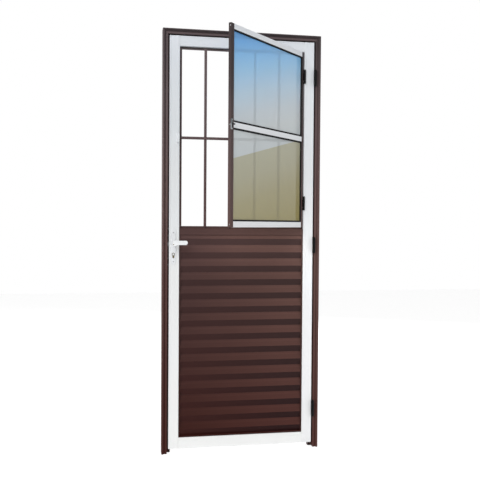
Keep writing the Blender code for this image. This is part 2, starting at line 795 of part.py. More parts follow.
def plank_outline(z0, z1, lap_behind):
    """Sheet section (Y, Z) between two heights, its crests and valleys eased; a lap runs on behind the plank above."""
    ease = 0.0012
    marks = {z0, z1}
    crest = TOP_CREST
    while crest > z0 - WAVE_PITCH:
        for turn in (crest, crest - DARK_FACET):
            for offset in (-2 * ease, -ease, 0.0, ease, 2 * ease):
                if z0 < turn + offset < z1:
                    marks.add(turn + offset)
        crest -= WAVE_PITCH
    front = []
    for z in sorted(marks):
        eased = sum(wave_depth(z + ease * k / 2) for k in (-2, -1, 0, 1, 2)) / 5
        front.append((eased, z))
    back = [(y + SHEET, z) for y, z in reversed(front)]
    if lap_behind:
        y_top, _ = front[-1]
        rear = y_top + SHEET
        front.append((rear + TOUCH, z1))
        front.append((rear + TOUCH, z1 + PLANK_LAP))
        front.append((rear + TOUCH + SHEET, z1 + PLANK_LAP))
        back = [(rear + TOUCH + SHEET, z1 - 0.0015)] + back[1:]
    return front + back


def make_panel(leaf):
    """Planks of three waves each; every plank's top edge laps behind the plank above, at a valley."""
    half = OPENING_HALF - CHANNEL_WALL - 2 * TOUCH
    rise = WAVE_PITCH * WAVES_PER_PLANK
    first_joint = TOP_CREST - DARK_FACET - WAVE_PITCH * (WAVES_PER_PLANK - 1)
    tops = [MIDDLE_RAIL_BOTTOM + 0.0070] + [first_joint - rise * k for k in range(PLANKS - 1)]
    bottoms = [first_joint - rise * k + TOUCH for k in range(PLANKS - 1)]
    bottoms.append(PANEL_FLOOR + CHANNEL_WALL + 2 * TOUCH)
    for number in range(PLANKS):
        outline = plank_outline(bottoms[number], tops[number], number > 0)
        plank = solid("X", [outline], -half, half)
        piece(f"panel_plank_{number + 1}", plank, leaf, PANEL_BROWN, 0.2, 0.4)
    make_channels(leaf)


def channel_section():
    """A U channel that holds the panel's edge: (across from the opening's edge, depth)."""
    wall = CHANNEL_WALL
    return rounded([
        (TOUCH, CHANNEL_FRONT, 0.0006),
        (CHANNEL_WIDTH, CHANNEL_FRONT, 0.0004),
        (CHANNEL_WIDTH, CHANNEL_FRONT + wall, 0.0004),
        (TOUCH + wall, CHANNEL_FRONT + wall, 0.0),
        (TOUCH + wall, CHANNEL_BACK - wall, 0.0),
        (CHANNEL_WIDTH, CHANNEL_BACK - wall, 0.0004),
        (CHANNEL_WIDTH, CHANNEL_BACK, 0.0004),
        (TOUCH, CHANNEL_BACK, 0.0006),
    ], 2)


def make_channels(leaf):
    section = channel_section()
    for name, side in (("panel_channel_lock_side", -1), ("panel_channel_hinge_side", 1)):
        loop = [(side * (OPENING_HALF - u), v) for u, v in section]
        channel = solid("Z", [loop], PANEL_FLOOR + TOUCH, MIDDLE_RAIL_BOTTOM - TOUCH)
        piece(name, channel, leaf, PANEL_BROWN, 0.2, 0.4)
    loop = [(v, PANEL_FLOOR + u) for u, v in section]
    end = OPENING_HALF - CHANNEL_WIDTH - TOUCH
    piece("panel_channel_bottom", solid("X", [loop], -end, end), leaf, PANEL_BROWN, 0.2, 0.4)


# ---------------------------------------------------------------- hinges

def hinge_plate(faces, y_tab, y_clear, y_back, z0, z1, tabs):
    """The flat leaf of a hinge with a tab running forward into each of its own knuckles."""
    outline = [(y_back, z0), (y_back, z1), (y_clear, z1)]
    for low, high in tabs:
        outline += [(y_clear, high), (y_tab, high), (y_tab, low), (y_clear, low)]
    outline.append((y_clear, z0))
    return solid("X", [outline], min(faces), max(faces))


def make_hinge(names, joints, axis, height, length, radius, pin, plates, depth):
    """A three-knuckle hinge: one half carries the outer knuckles and the pin, the other the middle knuckle."""
    x, y = axis
    z0 = height - length / 2
    z1 = height + length / 2
    low = z0 + length / 4
    high = z1 - length / 4
    slack = TOUCH / 2
    chamfer = radius / 5
    bore = pin + PLUG_CLEARANCE
    inset = 0.0004
    end = chamfer + inset
    half_facet = Matrix.Rotation(math.radians(7.5), 4, "Z")
    reach = (y + (pin + radius) / 2, y + radius + 0.0012, y + depth)
    outer_barrel = moved(turned([
        (0.0, z1),
        (radius - chamfer, z1),
        (radius, z1 - chamfer),
        (radius, high + slack),
        (pin, high + slack),
        (pin, low - slack),
        (radius, low - slack),
        (radius, z0 + chamfer),
        (radius - chamfer, z0),
        (0.0, z0),
    ]), x, y, turn=half_facet)
    outer_tabs = [(high + slack + inset, z1 - end), (z0 + end, low - slack - inset)]
    outer_half = joined(outer_barrel, hinge_plate(plates[0], *reach, z0, z1, outer_tabs))
    middle_barrel = moved(turned([
        (bore, high - slack),
        (radius, high - slack),
        (radius, low + slack),
        (bore, low + slack),
        (bore, high - slack),
    ]), x, y, turn=half_facet)
    middle_tabs = [(low + slack + inset, high - slack - inset)]
    middle_half = joined(middle_barrel, hinge_plate(plates[1], *reach, z0, z1, middle_tabs))
    black(names[0], outer_half, joints[0])
    black(names[1], middle_half, joints[1])


def make_door_hinges(leaf):
    thickness = DOOR_HINGE_PLATE
    jamb_face = FRAME_WIDTH / 2 - REBATE_FLOOR - TOUCH
    leaf_face = LEAF_EDGE + TOUCH
    plates = ((jamb_face - thickness, jamb_face), (leaf_face, leaf_face + thickness))
    for place, height in zip(("top", "middle", "bottom"), DOOR_HINGE_HEIGHTS):
        names = (f"door_hinge_{place}_frame_half", f"door_hinge_{place}_leaf_half")
        make_hinge(
            names, (None, leaf), DOOR_HINGE_AXIS, height, DOOR_HINGE_LENGTH, DOOR_KNUCKLE_RADIUS, DOOR_PIN_RADIUS,
            plates, DOOR_HINGE_PLATE_DEPTH,
        )


# ---------------------------------------------------------------- lockset

def make_escutcheon(name, near, far, leaf):
    half = ESCUTCHEON_WIDTH / 2
    loops = [
        box_outline(ESCUTCHEON_BOTTOM, ESCUTCHEON_TOP, LOCK_X - half, LOCK_X + half, half - 0.001, 8),
        circle_outline(SPINDLE_HEIGHT, LOCK_X, NECK_RADIUS + TOUCH),
        cylinder_outline(TOUCH),
    ]
    white(name, soften(solid("Y", loops, near, far), 0.0007, 1), leaf)


def make_lever(name, face, outward, levers):
    """A lever handle: a flat rounded arm on a round neck with a square socket."""
    centre = face + outward * LEVER_REACH
    low = ARM_CENTRE - ARM_HEIGHT / 2
    high = ARM_CENTRE + ARM_HEIGHT / 2
    root = LOCK_X - NECK_RADIUS - 0.0012
    heel = SPINDLE_HEIGHT - NECK_RADIUS - 0.0006
    arm_outline = rounded([
        (heel, root, 0.0070),
        (high - 0.0030, root, 0.0080),
        (high, LOCK_X + 0.0060, 0.0200),
        (high, ARM_TIP, ARM_HEIGHT / 2 - 0.0006),
        (low, ARM_TIP, ARM_HEIGHT / 2 - 0.0006),
        (low, LOCK_X + 0.0150, 0.0080),
        (heel, LOCK_X + 0.0070, 0.0040),
    ], 6)
    arm = solid("Y", [arm_outline], centre - ARM_THICKNESS / 2, centre + ARM_THICKNESS / 2)
    soften(arm, 0.0034, 3, 50.0)
    inner_end = face - outward * (FACE_RECESS - 2 * TOUCH)
    neck_section = [circle_outline(SPINDLE_HEIGHT, LOCK_X, NECK_RADIUS)]
    neck = solid("Y", neck_section, min(centre, inner_end), max(centre, inner_end))
    lever = joined(arm, neck)
    half = SPINDLE_SIZE / 2 + TOUCH
    deep = LEAF_MIDDLE + outward * (SPINDLE_LENGTH / 2 + TOUCH)
    mouth = inner_end - outward * 0.002
    cut(lever, block(
        LOCK_X - half, LOCK_X + half, min(deep, mouth), max(deep, mouth), SPINDLE_HEIGHT - half, SPINDLE_HEIGHT + half,
    ))
    white(name, lever, levers)


def make_case(leaf):
    """The lock case with its face plate: an open-bottomed shell with windows for bolts, spindle and cylinder."""
    edge = -LEAF_EDGE - TOUCH
    deep = edge + CASE_DEPTH
    half = CASE_THICKNESS / 2
    y = LEAF_MIDDLE
    wall = CASE_WALL
    plate_thickness, plate_width, plate_height = FACEPLATE
    middle = (CASE_BOTTOM + CASE_TOP) / 2
    case = block(edge - 0.0005, deep, y - half, y + half, CASE_BOTTOM, CASE_TOP)
    plate = solid("X", [box_outline(
        y - plate_width / 2, y + plate_width / 2, middle - plate_height / 2, middle + plate_height / 2, 0.003,
    )], edge - plate_thickness, edge)
    joined(case, plate)
    cut(case, block(edge, deep - wall, y - half + wall, y + half - wall, CASE_BOTTOM + wall, CASE_TOP - wall))
    for tall, centre in ((LATCH_HEIGHT, SPINDLE_HEIGHT), (DEADBOLT_HEIGHT, DEADBOLT_CENTRE)):
        wide = BOLT_THICKNESS / 2 + TOUCH
        reach = tall / 2 + TOUCH
        cut(case, block(edge - 0.004, edge + 0.002, y - wide, y + wide, centre - reach, centre + reach))
    cut(case, solid("Y", [circle_outline(SPINDLE_HEIGHT, LOCK_X, SPINDLE_SIZE * 0.78)], y - 0.02, y + 0.02))
    cut(case, solid("Y", [cylinder_outline(TOUCH)], y - 0.02, y + 0.02))
    steel("lock_case", case, leaf)


def make_bolts(latch, bolt):
    face = -LEAF_EDGE - TOUCH - FACEPLATE[0]
    y = LEAF_MIDDLE
    half = BOLT_THICKNESS / 2
    low = SPINDLE_HEIGHT - LATCH_HEIGHT / 2
    high = SPINDLE_HEIGHT + LATCH_HEIGHT / 2
    nose = face - LATCH_PROJECTION
    head_end = LOCK_X - SPINDLE_SIZE * 0.78 - LATCH_THROW - 0.0012
    fork_end = -LEAF_EDGE - TOUCH + CASE_DEPTH - CASE_WALL - LATCH_THROW - 0.0010
    fork = 0.0022
    outline = [
        (low, nose),
        (high, nose),
        (high, fork_end),
        (high - fork, fork_end),
        (high - fork, head_end),
        (low + fork, head_end),
        (low + fork, fork_end),
        (low, fork_end),
    ]
    latch_bolt = solid("Y", [outline], y - half, y + half)
    slant = [(nose - 0.001, y + half + 0.001), (nose - 0.001, y - half + 0.0010), (nose + 0.0108, y + half + 0.001)]
    cut(latch_bolt, solid("Z", [slant], low - 0.001, high + 0.001))
    steel("latch_bolt", latch_bolt, latch)
    low = DEADBOLT_CENTRE - DEADBOLT_HEIGHT / 2
    deadbolt = block(face, face + DEADBOLT_LENGTH, y - half, y + half, low, low + DEADBOLT_HEIGHT)
    steel("deadbolt", soften(deadbolt, 0.0006, 1), bolt)


def make_cylinder(leaf, plug_axis):
    front = FACE_OF_PLATE - ESCUTCHEON_THICKNESS - CYLINDER_PROUD
    back = BACK_OF_PLATE + ESCUTCHEON_THICKNESS + CYLINDER_PROUD
    y = LEAF_MIDDLE
    bore = circle_outline(CYLINDER_CENTRE, LOCK_X, PLUG_RADIUS + PLUG_CLEARANCE)
    body = solid("Y", [cylinder_outline(), bore], front, back)
    gap = CAM_THICKNESS / 2 + 0.0005
    bridge = CYLINDER_CENTRE - CAM_RADIUS - 0.0018
    cut(body, block(LOCK_X - 0.01, LOCK_X + 0.01, y - gap, y + gap, bridge, CYLINDER_CENTRE + 0.01))
    piece("lock_cylinder", body, leaf, BRASS, 1.0, 0.35)
    plug = solid("Y", [circle_outline(CYLINDER_CENTRE, LOCK_X, PLUG_RADIUS)], front + TOUCH, back - TOUCH)
    side = CAM_WIDTH / 2
    cam_outline = box_outline(
        CYLINDER_CENTRE - CAM_RADIUS, CYLINDER_CENTRE, LOCK_X - side, LOCK_X + side, 0.0010, 3,
    )
    joined(plug, solid("Y", [cam_outline], y - CAM_THICKNESS / 2, y + CAM_THICKNESS / 2))
    for near, far in ((front - 0.002, front + 0.007), (back - 0.007, back + 0.002)):
        cut(plug, block(
            LOCK_X - 0.0006, LOCK_X + 0.0006, near, far, CYLINDER_CENTRE - 0.0040, CYLINDER_CENTRE + 0.0030,
        ))
    piece("cylinder_plug", plug, plug_axis, BRASS, 1.0, 0.3)


def make_lockset(leaf, levers, latch, bolt, plug_axis):
    make_escutcheon("escutcheon_outside", FACE_OF_PLATE - ESCUTCHEON_THICKNESS, FACE_OF_PLATE, leaf)
    make_escutcheon("escutcheon_inside", BACK_OF_PLATE, BACK_OF_PLATE + ESCUTCHEON_THICKNESS, leaf)
    make_lever("lever_outside", LEAF_FRONT, -1, levers)
    make_lever("lever_inside", LEAF_BACK, 1, levers)
    half = SPINDLE_SIZE / 2
    reach = SPINDLE_LENGTH / 2
    spindle = block(
        LOCK_X - half, LOCK_X + half, LEAF_MIDDLE - reach, LEAF_MIDDLE + reach, SPINDLE_HEIGHT - half, SPINDLE_HEIGHT + half,
    )
    steel("lever_spindle", spindle, levers)
    make_case(leaf)
    make_bolts(latch, bolt)
    make_cylinder(leaf, plug_axis)


# ---------------------------------------------------------------- casement

def sash_section(width, pocket, double=False):
    """Outline and hollow of a casement profile with its glazing pocket: (across from its outer edge, depth)."""
    front = SASH_FRONT
    back = SASH_BACK
    low = SASH_MIDDLE - POCKET_WIDTH / 2
    high = SASH_MIDDLE + POCKET_WIDTH / 2
    wall = SASH_WALL
    inner_side = [
        (width, front, 0.0007),
        (width, low, 0.0),
        (width - pocket, low, 0.0),
        (width - pocket, high, 0.0),
        (width, high, 0.0),
        (width, back, 0.0007),
    ]
    if double:
        outer_side = [
            (0.0, back, 0.0007),
            (0.0, high, 0.0),
            (pocket, high, 0.0),
            (pocket, low, 0.0),
            (0.0, low, 0.0),
            (0.0, front, 0.0007),
        ]
        start = pocket + wall
    else:
        outer_side = [(0.0, back, 0.0014), (0.0, front, 0.0014)]
        start = wall
    hollow = box_outline(start, width - pocket - wall, front + wall, back - wall)
    return [rounded(inner_side + outer_side, 3), hollow]


def make_sash(sash):
    for name, side in (("sash_stile_free", -1), ("sash_stile_hinge", 1)):
        section = sash_section(SASH_STILE_WIDTH, STILE_POCKET)
        loops = [[(side * (SASH_EDGE - u), v) for u, v in loop] for loop in section]
        brown(name, solid("Z", loops, SASH_BOTTOM, SASH_TOP), sash)
    rails = (
        ("sash_top_rail", SASH_TOP, -1, TOP_RAIL_HEIGHT, False),
        ("sash_middle_rail", MIDDLE_SASH_RAIL_BOTTOM, 1, MIDDLE_SASH_RAIL_HEIGHT, True),
        ("sash_bottom_rail", SASH_BOTTOM, 1, BOTTOM_SASH_RAIL_HEIGHT, False),
    )
    for name, edge, inward, height, double in rails:
        loops = [[(v, edge + inward * u) for u, v in loop] for loop in sash_section(height, RAIL_POCKET, double)]
        white(name, solid("X", loops, -SASH_RAIL_END, SASH_RAIL_END), sash)
    middle_top = MIDDLE_SASH_RAIL_BOTTOM + MIDDLE_SASH_RAIL_HEIGHT
    make_pane("upper", middle_top, SASH_TOP - TOP_RAIL_HEIGHT, sash)
    make_pane("lower", SASH_BOTTOM + BOTTOM_SASH_RAIL_HEIGHT, MIDDLE_SASH_RAIL_BOTTOM, sash)


def make_pane(place, low, high, sash):
    """A pane and the gasket round it, set in the pockets of the profiles about an opening."""
    wide = SASH_EDGE - SASH_STILE_WIDTH
    y = SASH_MIDDLE

    def rectangle(side_margin, rail_margin):
        return box_outline(low - rail_margin, high + rail_margin, -wide - side_margin, wide + side_margin)

    seat = POCKET_WIDTH / 2 - TOUCH
    lip = GASKET_LIP / 2
    outer = rectangle(STILE_POCKET - TOUCH, RAIL_POCKET - TOUCH)
    gasket = solid("Y", [outer, rectangle(-GASKET_SHOW, -GASKET_SHOW)], y - lip, y + lip)
    joined(gasket, solid("Y", [outer, rectangle(TOUCH, TOUCH)], y - seat, y + seat))
    side_hold = STILE_POCKET - 0.0025
    rail_hold = RAIL_POCKET - 0.0025
    half = GLASS_THICKNESS / 2
    cut(gasket, solid("Y", [rectangle(side_hold + TOUCH, rail_hold + TOUCH)], y - half - TOUCH, y + half + TOUCH))
    black(f"gasket_{place}", gasket, sash)
    pane = solid("Y", [rectangle(side_hold, rail_hold)], y - half, y + half)
    piece(f"glass_{place}", pane, sash, GLASS, 0.0, 0.05, 0.35)


def make_casement_hinges(leaf, sash):
    thickness = SASH_HINGE_PLATE
    leaf_face = OPENING_HALF - TOUCH
    sash_face = SASH_EDGE + TOUCH
    plates = ((leaf_face - thickness, leaf_face), (sash_face, sash_face + thickness))
    for place, height in zip(("top", "bottom"), SASH_HINGE_HEIGHTS):
        names = (f"casement_hinge_{place}_leaf_half", f"casement_hinge_{place}_sash_half")
        make_hinge(
            names, (leaf, sash), SASH_AXIS, height, SASH_HINGE_LENGTH, SASH_KNUCKLE_RADIUS, SASH_PIN_RADIUS,
            plates, SASH_HINGE_PLATE_DEPTH,
        )


def make_catch(leaf, sash, catch):
    width, height, thickness = CATCH_BASE
    x = -SASH_EDGE + CATCH_INSET
    front = SASH_FRONT - TOUCH - thickness
    outline = box_outline(CATCH_HEIGHT - height / 2, CATCH_HEIGHT + height / 2, x - width / 2, x + width / 2, 0.004, 5)
    steel("catch_base", soften(solid("Y", [outline], front, front + thickness), 0.0008), sash)
    near = front - TOUCH
    far = near - CATCH_LEVER
    half = CATCH_HUB_RADIUS * 0.62
    hub = CATCH_HUB_RADIUS
    z = CATCH_HEIGHT
    outline = rounded([
        (z - TONGUE_LENGTH, x - half, 0.0010),
        (z - TONGUE_LENGTH, x + half, 0.0010),
        (z - half, x + half, 0.0012),
        (z - half, x + HANDLE_LENGTH, 0.0020),
        (z + half, x + HANDLE_LENGTH, 0.0020),
        (z + half, x + 0.0030, 0.0008),
        (z + hub, x + 0.0010, 0.0012),
        (z + hub, x - half, 0.0030),
    ])
    lever = solid("Y", [outline], far, near)
    grip = box_outline(z - half + 0.0004, z + half - 0.0004, x + HANDLE_LENGTH - 0.005, x + HANDLE_LENGTH - 0.0004, 0.0018, 3)
    joined(lever, solid("Y", [grip], far - CATCH_GRIP, far + CATCH_LEVER / 4))
    steel("catch_lever", lever, catch)
    plate = FACE_LIP - TOUCH
    wall = KEEPER_WALL
    right = -OPENING_HALF - 0.0006
    left = right - KEEPER_WIDTH
    lip_back = far - 0.0008
    keeper_outline = rounded([
        (left, plate, 0.0),
        (left, lip_back - wall, 0.0015),
        (right, lip_back - wall, 0.0010),
        (right, lip_back, 0.0),
        (left + wall, lip_back, 0.0),
        (left + wall, plate - wall, 0.0),
        (right, plate - wall, 0.0),
        (right, plate, 0.0),
    ], 3)
    white("casement_keeper", solid("Z", [keeper_outline], KEEPER_BOTTOM, KEEPER_TOP), leaf)


# ---------------------------------------------------------------- door

def main():
    leaf = joint_axis("leaf_axis", (*DOOR_HINGE_AXIS, 0.0))
    sash = joint_axis("casement_axis", (*SASH_AXIS, SASH_BOTTOM), leaf, SASH_OPEN_ANGLE)
    levers = joint_axis("lever_axis", (LOCK_X, LEAF_MIDDLE, SPINDLE_HEIGHT), leaf)
    latch = joint_axis("latch_axis", (-LEAF_EDGE, LEAF_MIDDLE, SPINDLE_HEIGHT), leaf)
    bolt = joint_axis("deadbolt_axis", (-LEAF_EDGE, LEAF_MIDDLE, DEADBOLT_CENTRE), leaf)
    plug = joint_axis("cylinder_axis", (LOCK_X, LEAF_MIDDLE, CYLINDER_CENTRE), leaf)
    catch = joint_axis("catch_axis", (-SASH_EDGE + CATCH_INSET, SASH_FRONT, CATCH_HEIGHT), sash)
    make_frame()
    make_leaf(leaf)
    make_door_hinges(leaf)
    make_lockset(leaf, levers, latch, bolt, plug)
    make_sash(sash)
    make_casement_hinges(leaf, sash)
    make_catch(leaf, sash, catch)


SHUT_PLACES = {}
clear_scene()
DOOR = new_collection("aluminium_door")
CUTTERS = new_collection("cutters")
CUTTERS.hide_render = True
main()
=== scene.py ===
"""Looks of an aluminium door with its frame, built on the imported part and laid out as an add-on."""

import json
import math

import bpy
from bpy.props import FloatProperty, FloatVectorProperty, IntProperty, PointerProperty
from mathutils import Matrix, Vector


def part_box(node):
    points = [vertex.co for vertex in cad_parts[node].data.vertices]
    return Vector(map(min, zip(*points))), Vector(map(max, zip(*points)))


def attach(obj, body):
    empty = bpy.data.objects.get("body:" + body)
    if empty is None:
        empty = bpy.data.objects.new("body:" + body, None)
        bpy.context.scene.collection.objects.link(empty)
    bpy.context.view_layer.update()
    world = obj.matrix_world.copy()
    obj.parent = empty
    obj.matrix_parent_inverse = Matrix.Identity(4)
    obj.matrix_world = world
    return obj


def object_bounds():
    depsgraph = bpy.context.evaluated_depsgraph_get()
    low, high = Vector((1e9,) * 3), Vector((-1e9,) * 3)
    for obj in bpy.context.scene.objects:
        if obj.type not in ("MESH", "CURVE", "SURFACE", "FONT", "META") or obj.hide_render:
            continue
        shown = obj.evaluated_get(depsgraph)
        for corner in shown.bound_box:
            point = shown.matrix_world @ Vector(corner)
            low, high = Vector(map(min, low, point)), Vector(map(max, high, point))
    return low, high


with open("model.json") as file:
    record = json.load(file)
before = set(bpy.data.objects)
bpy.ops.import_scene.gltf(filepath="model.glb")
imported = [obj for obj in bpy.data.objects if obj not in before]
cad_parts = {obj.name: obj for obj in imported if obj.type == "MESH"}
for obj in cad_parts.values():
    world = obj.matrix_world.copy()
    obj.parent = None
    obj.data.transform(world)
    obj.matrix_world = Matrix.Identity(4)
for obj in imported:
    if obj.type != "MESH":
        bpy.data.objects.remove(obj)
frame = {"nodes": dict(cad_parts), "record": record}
CAD_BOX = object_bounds()

bl_info = {
    "name": "Aluminium door looks",
    "version": (1, 0, 0),
    "blender": (4, 5, 0),
    "location": "View3D > Sidebar > Door",
    "description": "Finishes, fixings and stage of an aluminium door with a casement in its leaf",
    "category": "Object",
}

DOOR_HEIGHT = CAD_BOX[1].z


# ---------------------------------------- sizes and colours

def colour(name, description, value):
    """A colour property, given as linear red, green and blue."""
    return FloatVectorProperty(
        name=name, description=description, default=value, subtype="COLOR", size=3, min=0.0, max=1.0,
    )


def number(name, description, value, **more):
    """A plain number as a property."""
    return FloatProperty(name=name, description=description, default=value, **more)


def length(name, description, value):
    """A length property in metres."""
    return number(name, description, value, min=0.0, unit="LENGTH", precision=5)


def slat_colour(kind, side, end, value):
    """Colour property of one kind of the slats' faces, near one side and one end of the panel."""
    # Downward faces carry painted shade and upward faces carry painted light.
    faces = {"Painted shade": "Downward", "Painted light": "Upward"}[kind]
    return colour(f"{kind}, {side} side, {end}", f"{faces} faces at the {side} side, near the {end}", value)


def srgb(red, green, blue):
    """Linear colour from display values of 0 to 255."""
    def channel(value):
        value = value / 255.0
        return value / 12.92 if value <= 0.04045 else ((value + 0.055) / 1.055) ** 2.4
    return channel(red), channel(green), channel(blue)


class DoorFinishSettings(bpy.types.PropertyGroup):
    """Colours of the paints, the rubber and the metals."""
    # Brown top and foot: greyer at the top and redder, darker at the foot, a painted reflection of the sky
    # above and the ground below.
    brown_high: colour("Brown, top", "Brown of the grille and side linings, at the top", srgb(98, 85, 86))
    brown_low: colour("Brown, foot", "The same brown, taken down to the floor", srgb(70, 28, 22))
    # White top and foot: darker at the top and paler at the foot, painted shade and painted light.
    white_high: colour("White, top", "White of the leaf's rails and keeper, at the top", srgb(208, 211, 216))
    white_low: colour("White, foot", "The same white, at the foot", srgb(250, 251, 250))
    # Casement white top and foot: the same painted shade at the top and painted light at the foot.
    sash_high: colour("Casement white, top", "White of the casement's rails, at the top", srgb(231, 235, 240))
    sash_low: colour("Casement white, foot", "The same white, taken down to the floor", srgb(250, 250, 250))
    handle: colour("Handle", "Paint of the handles", srgb(232, 234, 236))
    plate: colour("Handle plates", "Paint of the plates behind the handles", srgb(223, 225, 228))
    hinge: colour("Hinges", "Black paint of the hinges", srgb(12, 12, 13))
    rubber: colour("Rubber", "Seal and glazing gaskets", srgb(9, 8, 9))
    steel: colour("Steel", "Plated steel of bolts, spindle, corner cleats and screws", srgb(176, 178, 180))
    nickel: colour("Nickel", "Bright nickel plate of the cylinder's plug", srgb(232, 234, 236))
    brass: colour("Brass", "Brass of the lock cylinder and of the lever's screw", srgb(112, 102, 80))
    # Dark steel: partly the steel's own blackened finish, partly painted shade that keeps the gap beside the
    # lock black.
    dark_steel: colour("Dark steel", "Blackened steel of lock, strike and catch lever", srgb(40, 38, 38))
    coat_roughness: number("Paint roughness", "Roughness of the powder coat", 0.42, min=0.0, max=1.0)


class DoorPanelSettings(bpy.types.PropertyGroup):
    """Tones of the slats, painted light: painted shade on their downward faces and painted light on their
    upward ones.
    """
    clean_lock_low: slat_colour("Painted shade", "lock", "foot", srgb(57, 22, 18))
    clean_lock_high: slat_colour("Painted shade", "lock", "top", srgb(61, 44, 43))
    clean_hinge_low: slat_colour("Painted shade", "hinge", "foot", srgb(38, 14, 15))
    clean_hinge_high: slat_colour("Painted shade", "hinge", "top", srgb(65, 48, 46))
    painted_light_lock_low: slat_colour("Painted light", "lock", "foot", srgb(57, 24, 18))
    painted_light_lock_high: slat_colour("Painted light", "lock", "top", srgb(75, 55, 53))
    painted_light_hinge_low: slat_colour("Painted light", "hinge", "foot", srgb(75, 41, 36))
    painted_light_hinge_high: slat_colour("Painted light", "hinge", "top", srgb(99, 74, 68))


class DoorTrimSettings(bpy.types.PropertyGroup):
    """Sizes of the casement's bead and wedge gaskets."""
    bead_width: length("Bead width", "Width of the bead on the casement's free stile", 0.0092)
    bead_stand: length("Bead stand", "How far the bead stands before the casement's face", 0.0007)
    wedge_width: length("Wedge width", "Width of the wedge gaskets round the glass", 0.0078)
    wedge_sink: length("Wedge sink", "How far the wedge gaskets lie behind the casement's face", 0.0003)
    edge_round: length("Edge radius", "Rounding of the bead and the gaskets", 0.0004)


class DoorFixingSettings(bpy.types.PropertyGroup):
    """Sizes of the screws that show."""
    plate_screw: length("Plate screw", "Radius of the screws through the handle plates", 0.0029)
    sash_screw: length("Sash screw", "Radius of the screws through the casement's free stile", 0.0024)
    catch_screw: length("Catch screw", "Radius of the screws through the catch plate", 0.0022)
    bar_screw: length("Bar screw", "Radius of the screws at the feet of the grille bars", 0.0026)
    grub_screw: length("Lever screw", "Radius of the screw that holds the outside lever", 0.0036)
    grub_inset: length("Lever screw inset", "Distance of that screw from the lever's heel", 0.0056)
    grub_sink: length("Lever screw sink", "How deep that screw is sunk in the lever", 0.0024)
    bolt_screw: length("Lock screw", "Radius of the screws in the strike and the lock's face plate", 0.0036)
    sides: IntProperty(name="Head sides", description="Sides of a screw head", default=24, min=8, max=64)


class DoorStageSettings(bpy.types.PropertyGroup):
    """Lamps, floor and camera."""
    key_power: number("Key lamp", "Power of the large lamp at the upper left", 175.0, unit="POWER")
    fill_power: number("Fill lamp", "Power of the large lamp at the right", 37.0, unit="POWER")
    back_power: number("Back lamp", "Power of the lamp behind the door", 85.0, unit="POWER")
    sky_strength: number("Sky", "Strength of the even light all round", 0.35)
    floor_tone: number("Floor", "Tone of the floor in the lamps", 0.80)
    floor_lift: number("Floor lift", "What the camera sees the floor add", 0.62)
    lens: number("Lens", "Focal length in millimetres", 51.04, unit="CAMERA")
    camera_place: FloatVectorProperty(
        name="Camera", description="Place of the camera", subtype="XYZ", size=3,
        default=(-0.5972, -3.3569, 1.1426),
    )
    camera_turn: FloatVectorProperty(
        name="Camera turn", description="Pitch, roll and yaw of the camera", subtype="EULER", size=3,
        default=(-0.0232, 0.0066, -0.1726),
    )


# Directions that a screw or a plate can face.
LEFT, RIGHT = Vector((-1.0, 0.0, 0.0)), Vector((1.0, 0.0, 0.0))
FRONT, BACK = Vector((0.0, -1.0, 0.0)), Vector((0.0, 1.0, 0.0))

# Trim of the casement, in metres.
TRIM_LAP = 0.0001  # how far the bead and the gaskets reach into what they sit on
BEAD_SHORT = 0.0006  # how far the bead ends before the ends of its stile

# Screws, in metres and radians, with their head at a radius of 1.
PLATE_SCREW_RISE = 0.0119  # from the foot of a handle plate
PLATE_SCREW_DROP = 0.0158  # from its top
BOLT_SCREW_END = 0.010  # from the ends of the strike and of the lock's face plate
SASH_SCREW_SINK = 0.0012  # into the edge of the casement's free stile
SASH_SCREW_SETBACK = 0.0042  # behind the front face of that stile
CATCH_SCREW_END = 0.0045  # from the ends of the catch plate
BAR_SCREW_RISE = 0.0045  # above the foot of a grille bar
GRILLE_BARS = 4
SCREW_TURN = 0.4  # how far the cross of a row's first screw is turned
SCREW_TURN_STEP = 1.1  # how much further that of each next one is
HEAD_HEIGHT = 0.5
HEAD_DOME = ((0.18, 0.16), (0.25, 0.10), (0.28, 0.03))  # inset and rise of each ring of the dome
CROSS_HEIGHT = 0.75  # height of the middle of the cross recess
CROSS_ARM = (1.05, 0.22, 0.55)  # size of one arm
CROSS_TAPER = (0.55, 0.7, 1.0)  # size of its lower end as a share of that

# Stage, in metres. A lamp has a name, its power setting, a place, an aim and a size.
LAMPS = (
    ("Key lamp", "key_power", (-2.6, -3.6, 3.4), (0.0, 0.0, 0.9), 3.2),
    ("Fill lamp", "fill_power", (3.2, -3.0, 1.2), (0.0, 0.0, 0.6), 3.0),
    ("Back lamp", "back_power", (1.6, 3.8, 2.6), (0.0, 0.0, 1.0), 3.0),
)
FLOOR_SIZE = 16.0
FLOOR_HEIGHT = -0.0006
FLOOR_GRAIN = 1.01  # tone of the floor's pale grain as a share of its dark one
FILM_WIDTH = 36.0  # millimetres

# Paint.
EDGE_RADIUS = 0.0009  # rounding by which the edges are found and shaded
EDGE_BEGINS, EDGE_FULL = 0.995, 0.86  # cosines of the lean where the mask begins and is full
WHITE_SMOOTHER = 0.08  # how much less rough the white paint is than the brown
PANEL_SMOOTHER = 0.02  # the same for the panel
WHITE_LOOKS = {"change": 0.012, "peel": 0.03}
HANDLE_LOOKS = {"change": 0.01, "edge_highlight_gain": 1.04, "peel": 0.02}
COAT_FINE = 0.35  # weight of the fine changes of tone beside the slow ones
COAT_SPAN = (0.35, 1.0)  # sums of both at the darkest and the palest tone
COAT_ROUGHER = 0.06  # how far the roughness follows them
PEEL_DEPTH = 0.0004  # metres

# Metals, rubber and the patches that both have.
METAL_DARK = 0.72  # tone of the dark patches as a share of the pale ones
METAL_DULL = 0.08  # how much rougher they are
METAL_DRAWN = 8  # how much finer the drawn lines are across than along
GRAIN_DEPTH = 0.0002  # metres
METAL_GRAIN, RUBBER_GRAIN = 0.08, 0.1  # strength of the grain
RUBBER_BLOOM = 1.5  # tone of the bloom as a multiple of the rubber's
RUBBER_ROUGHNESS = (0.62, 0.78)
PATCHES = (0.3, 0.7)  # noise values where a patch begins and is full
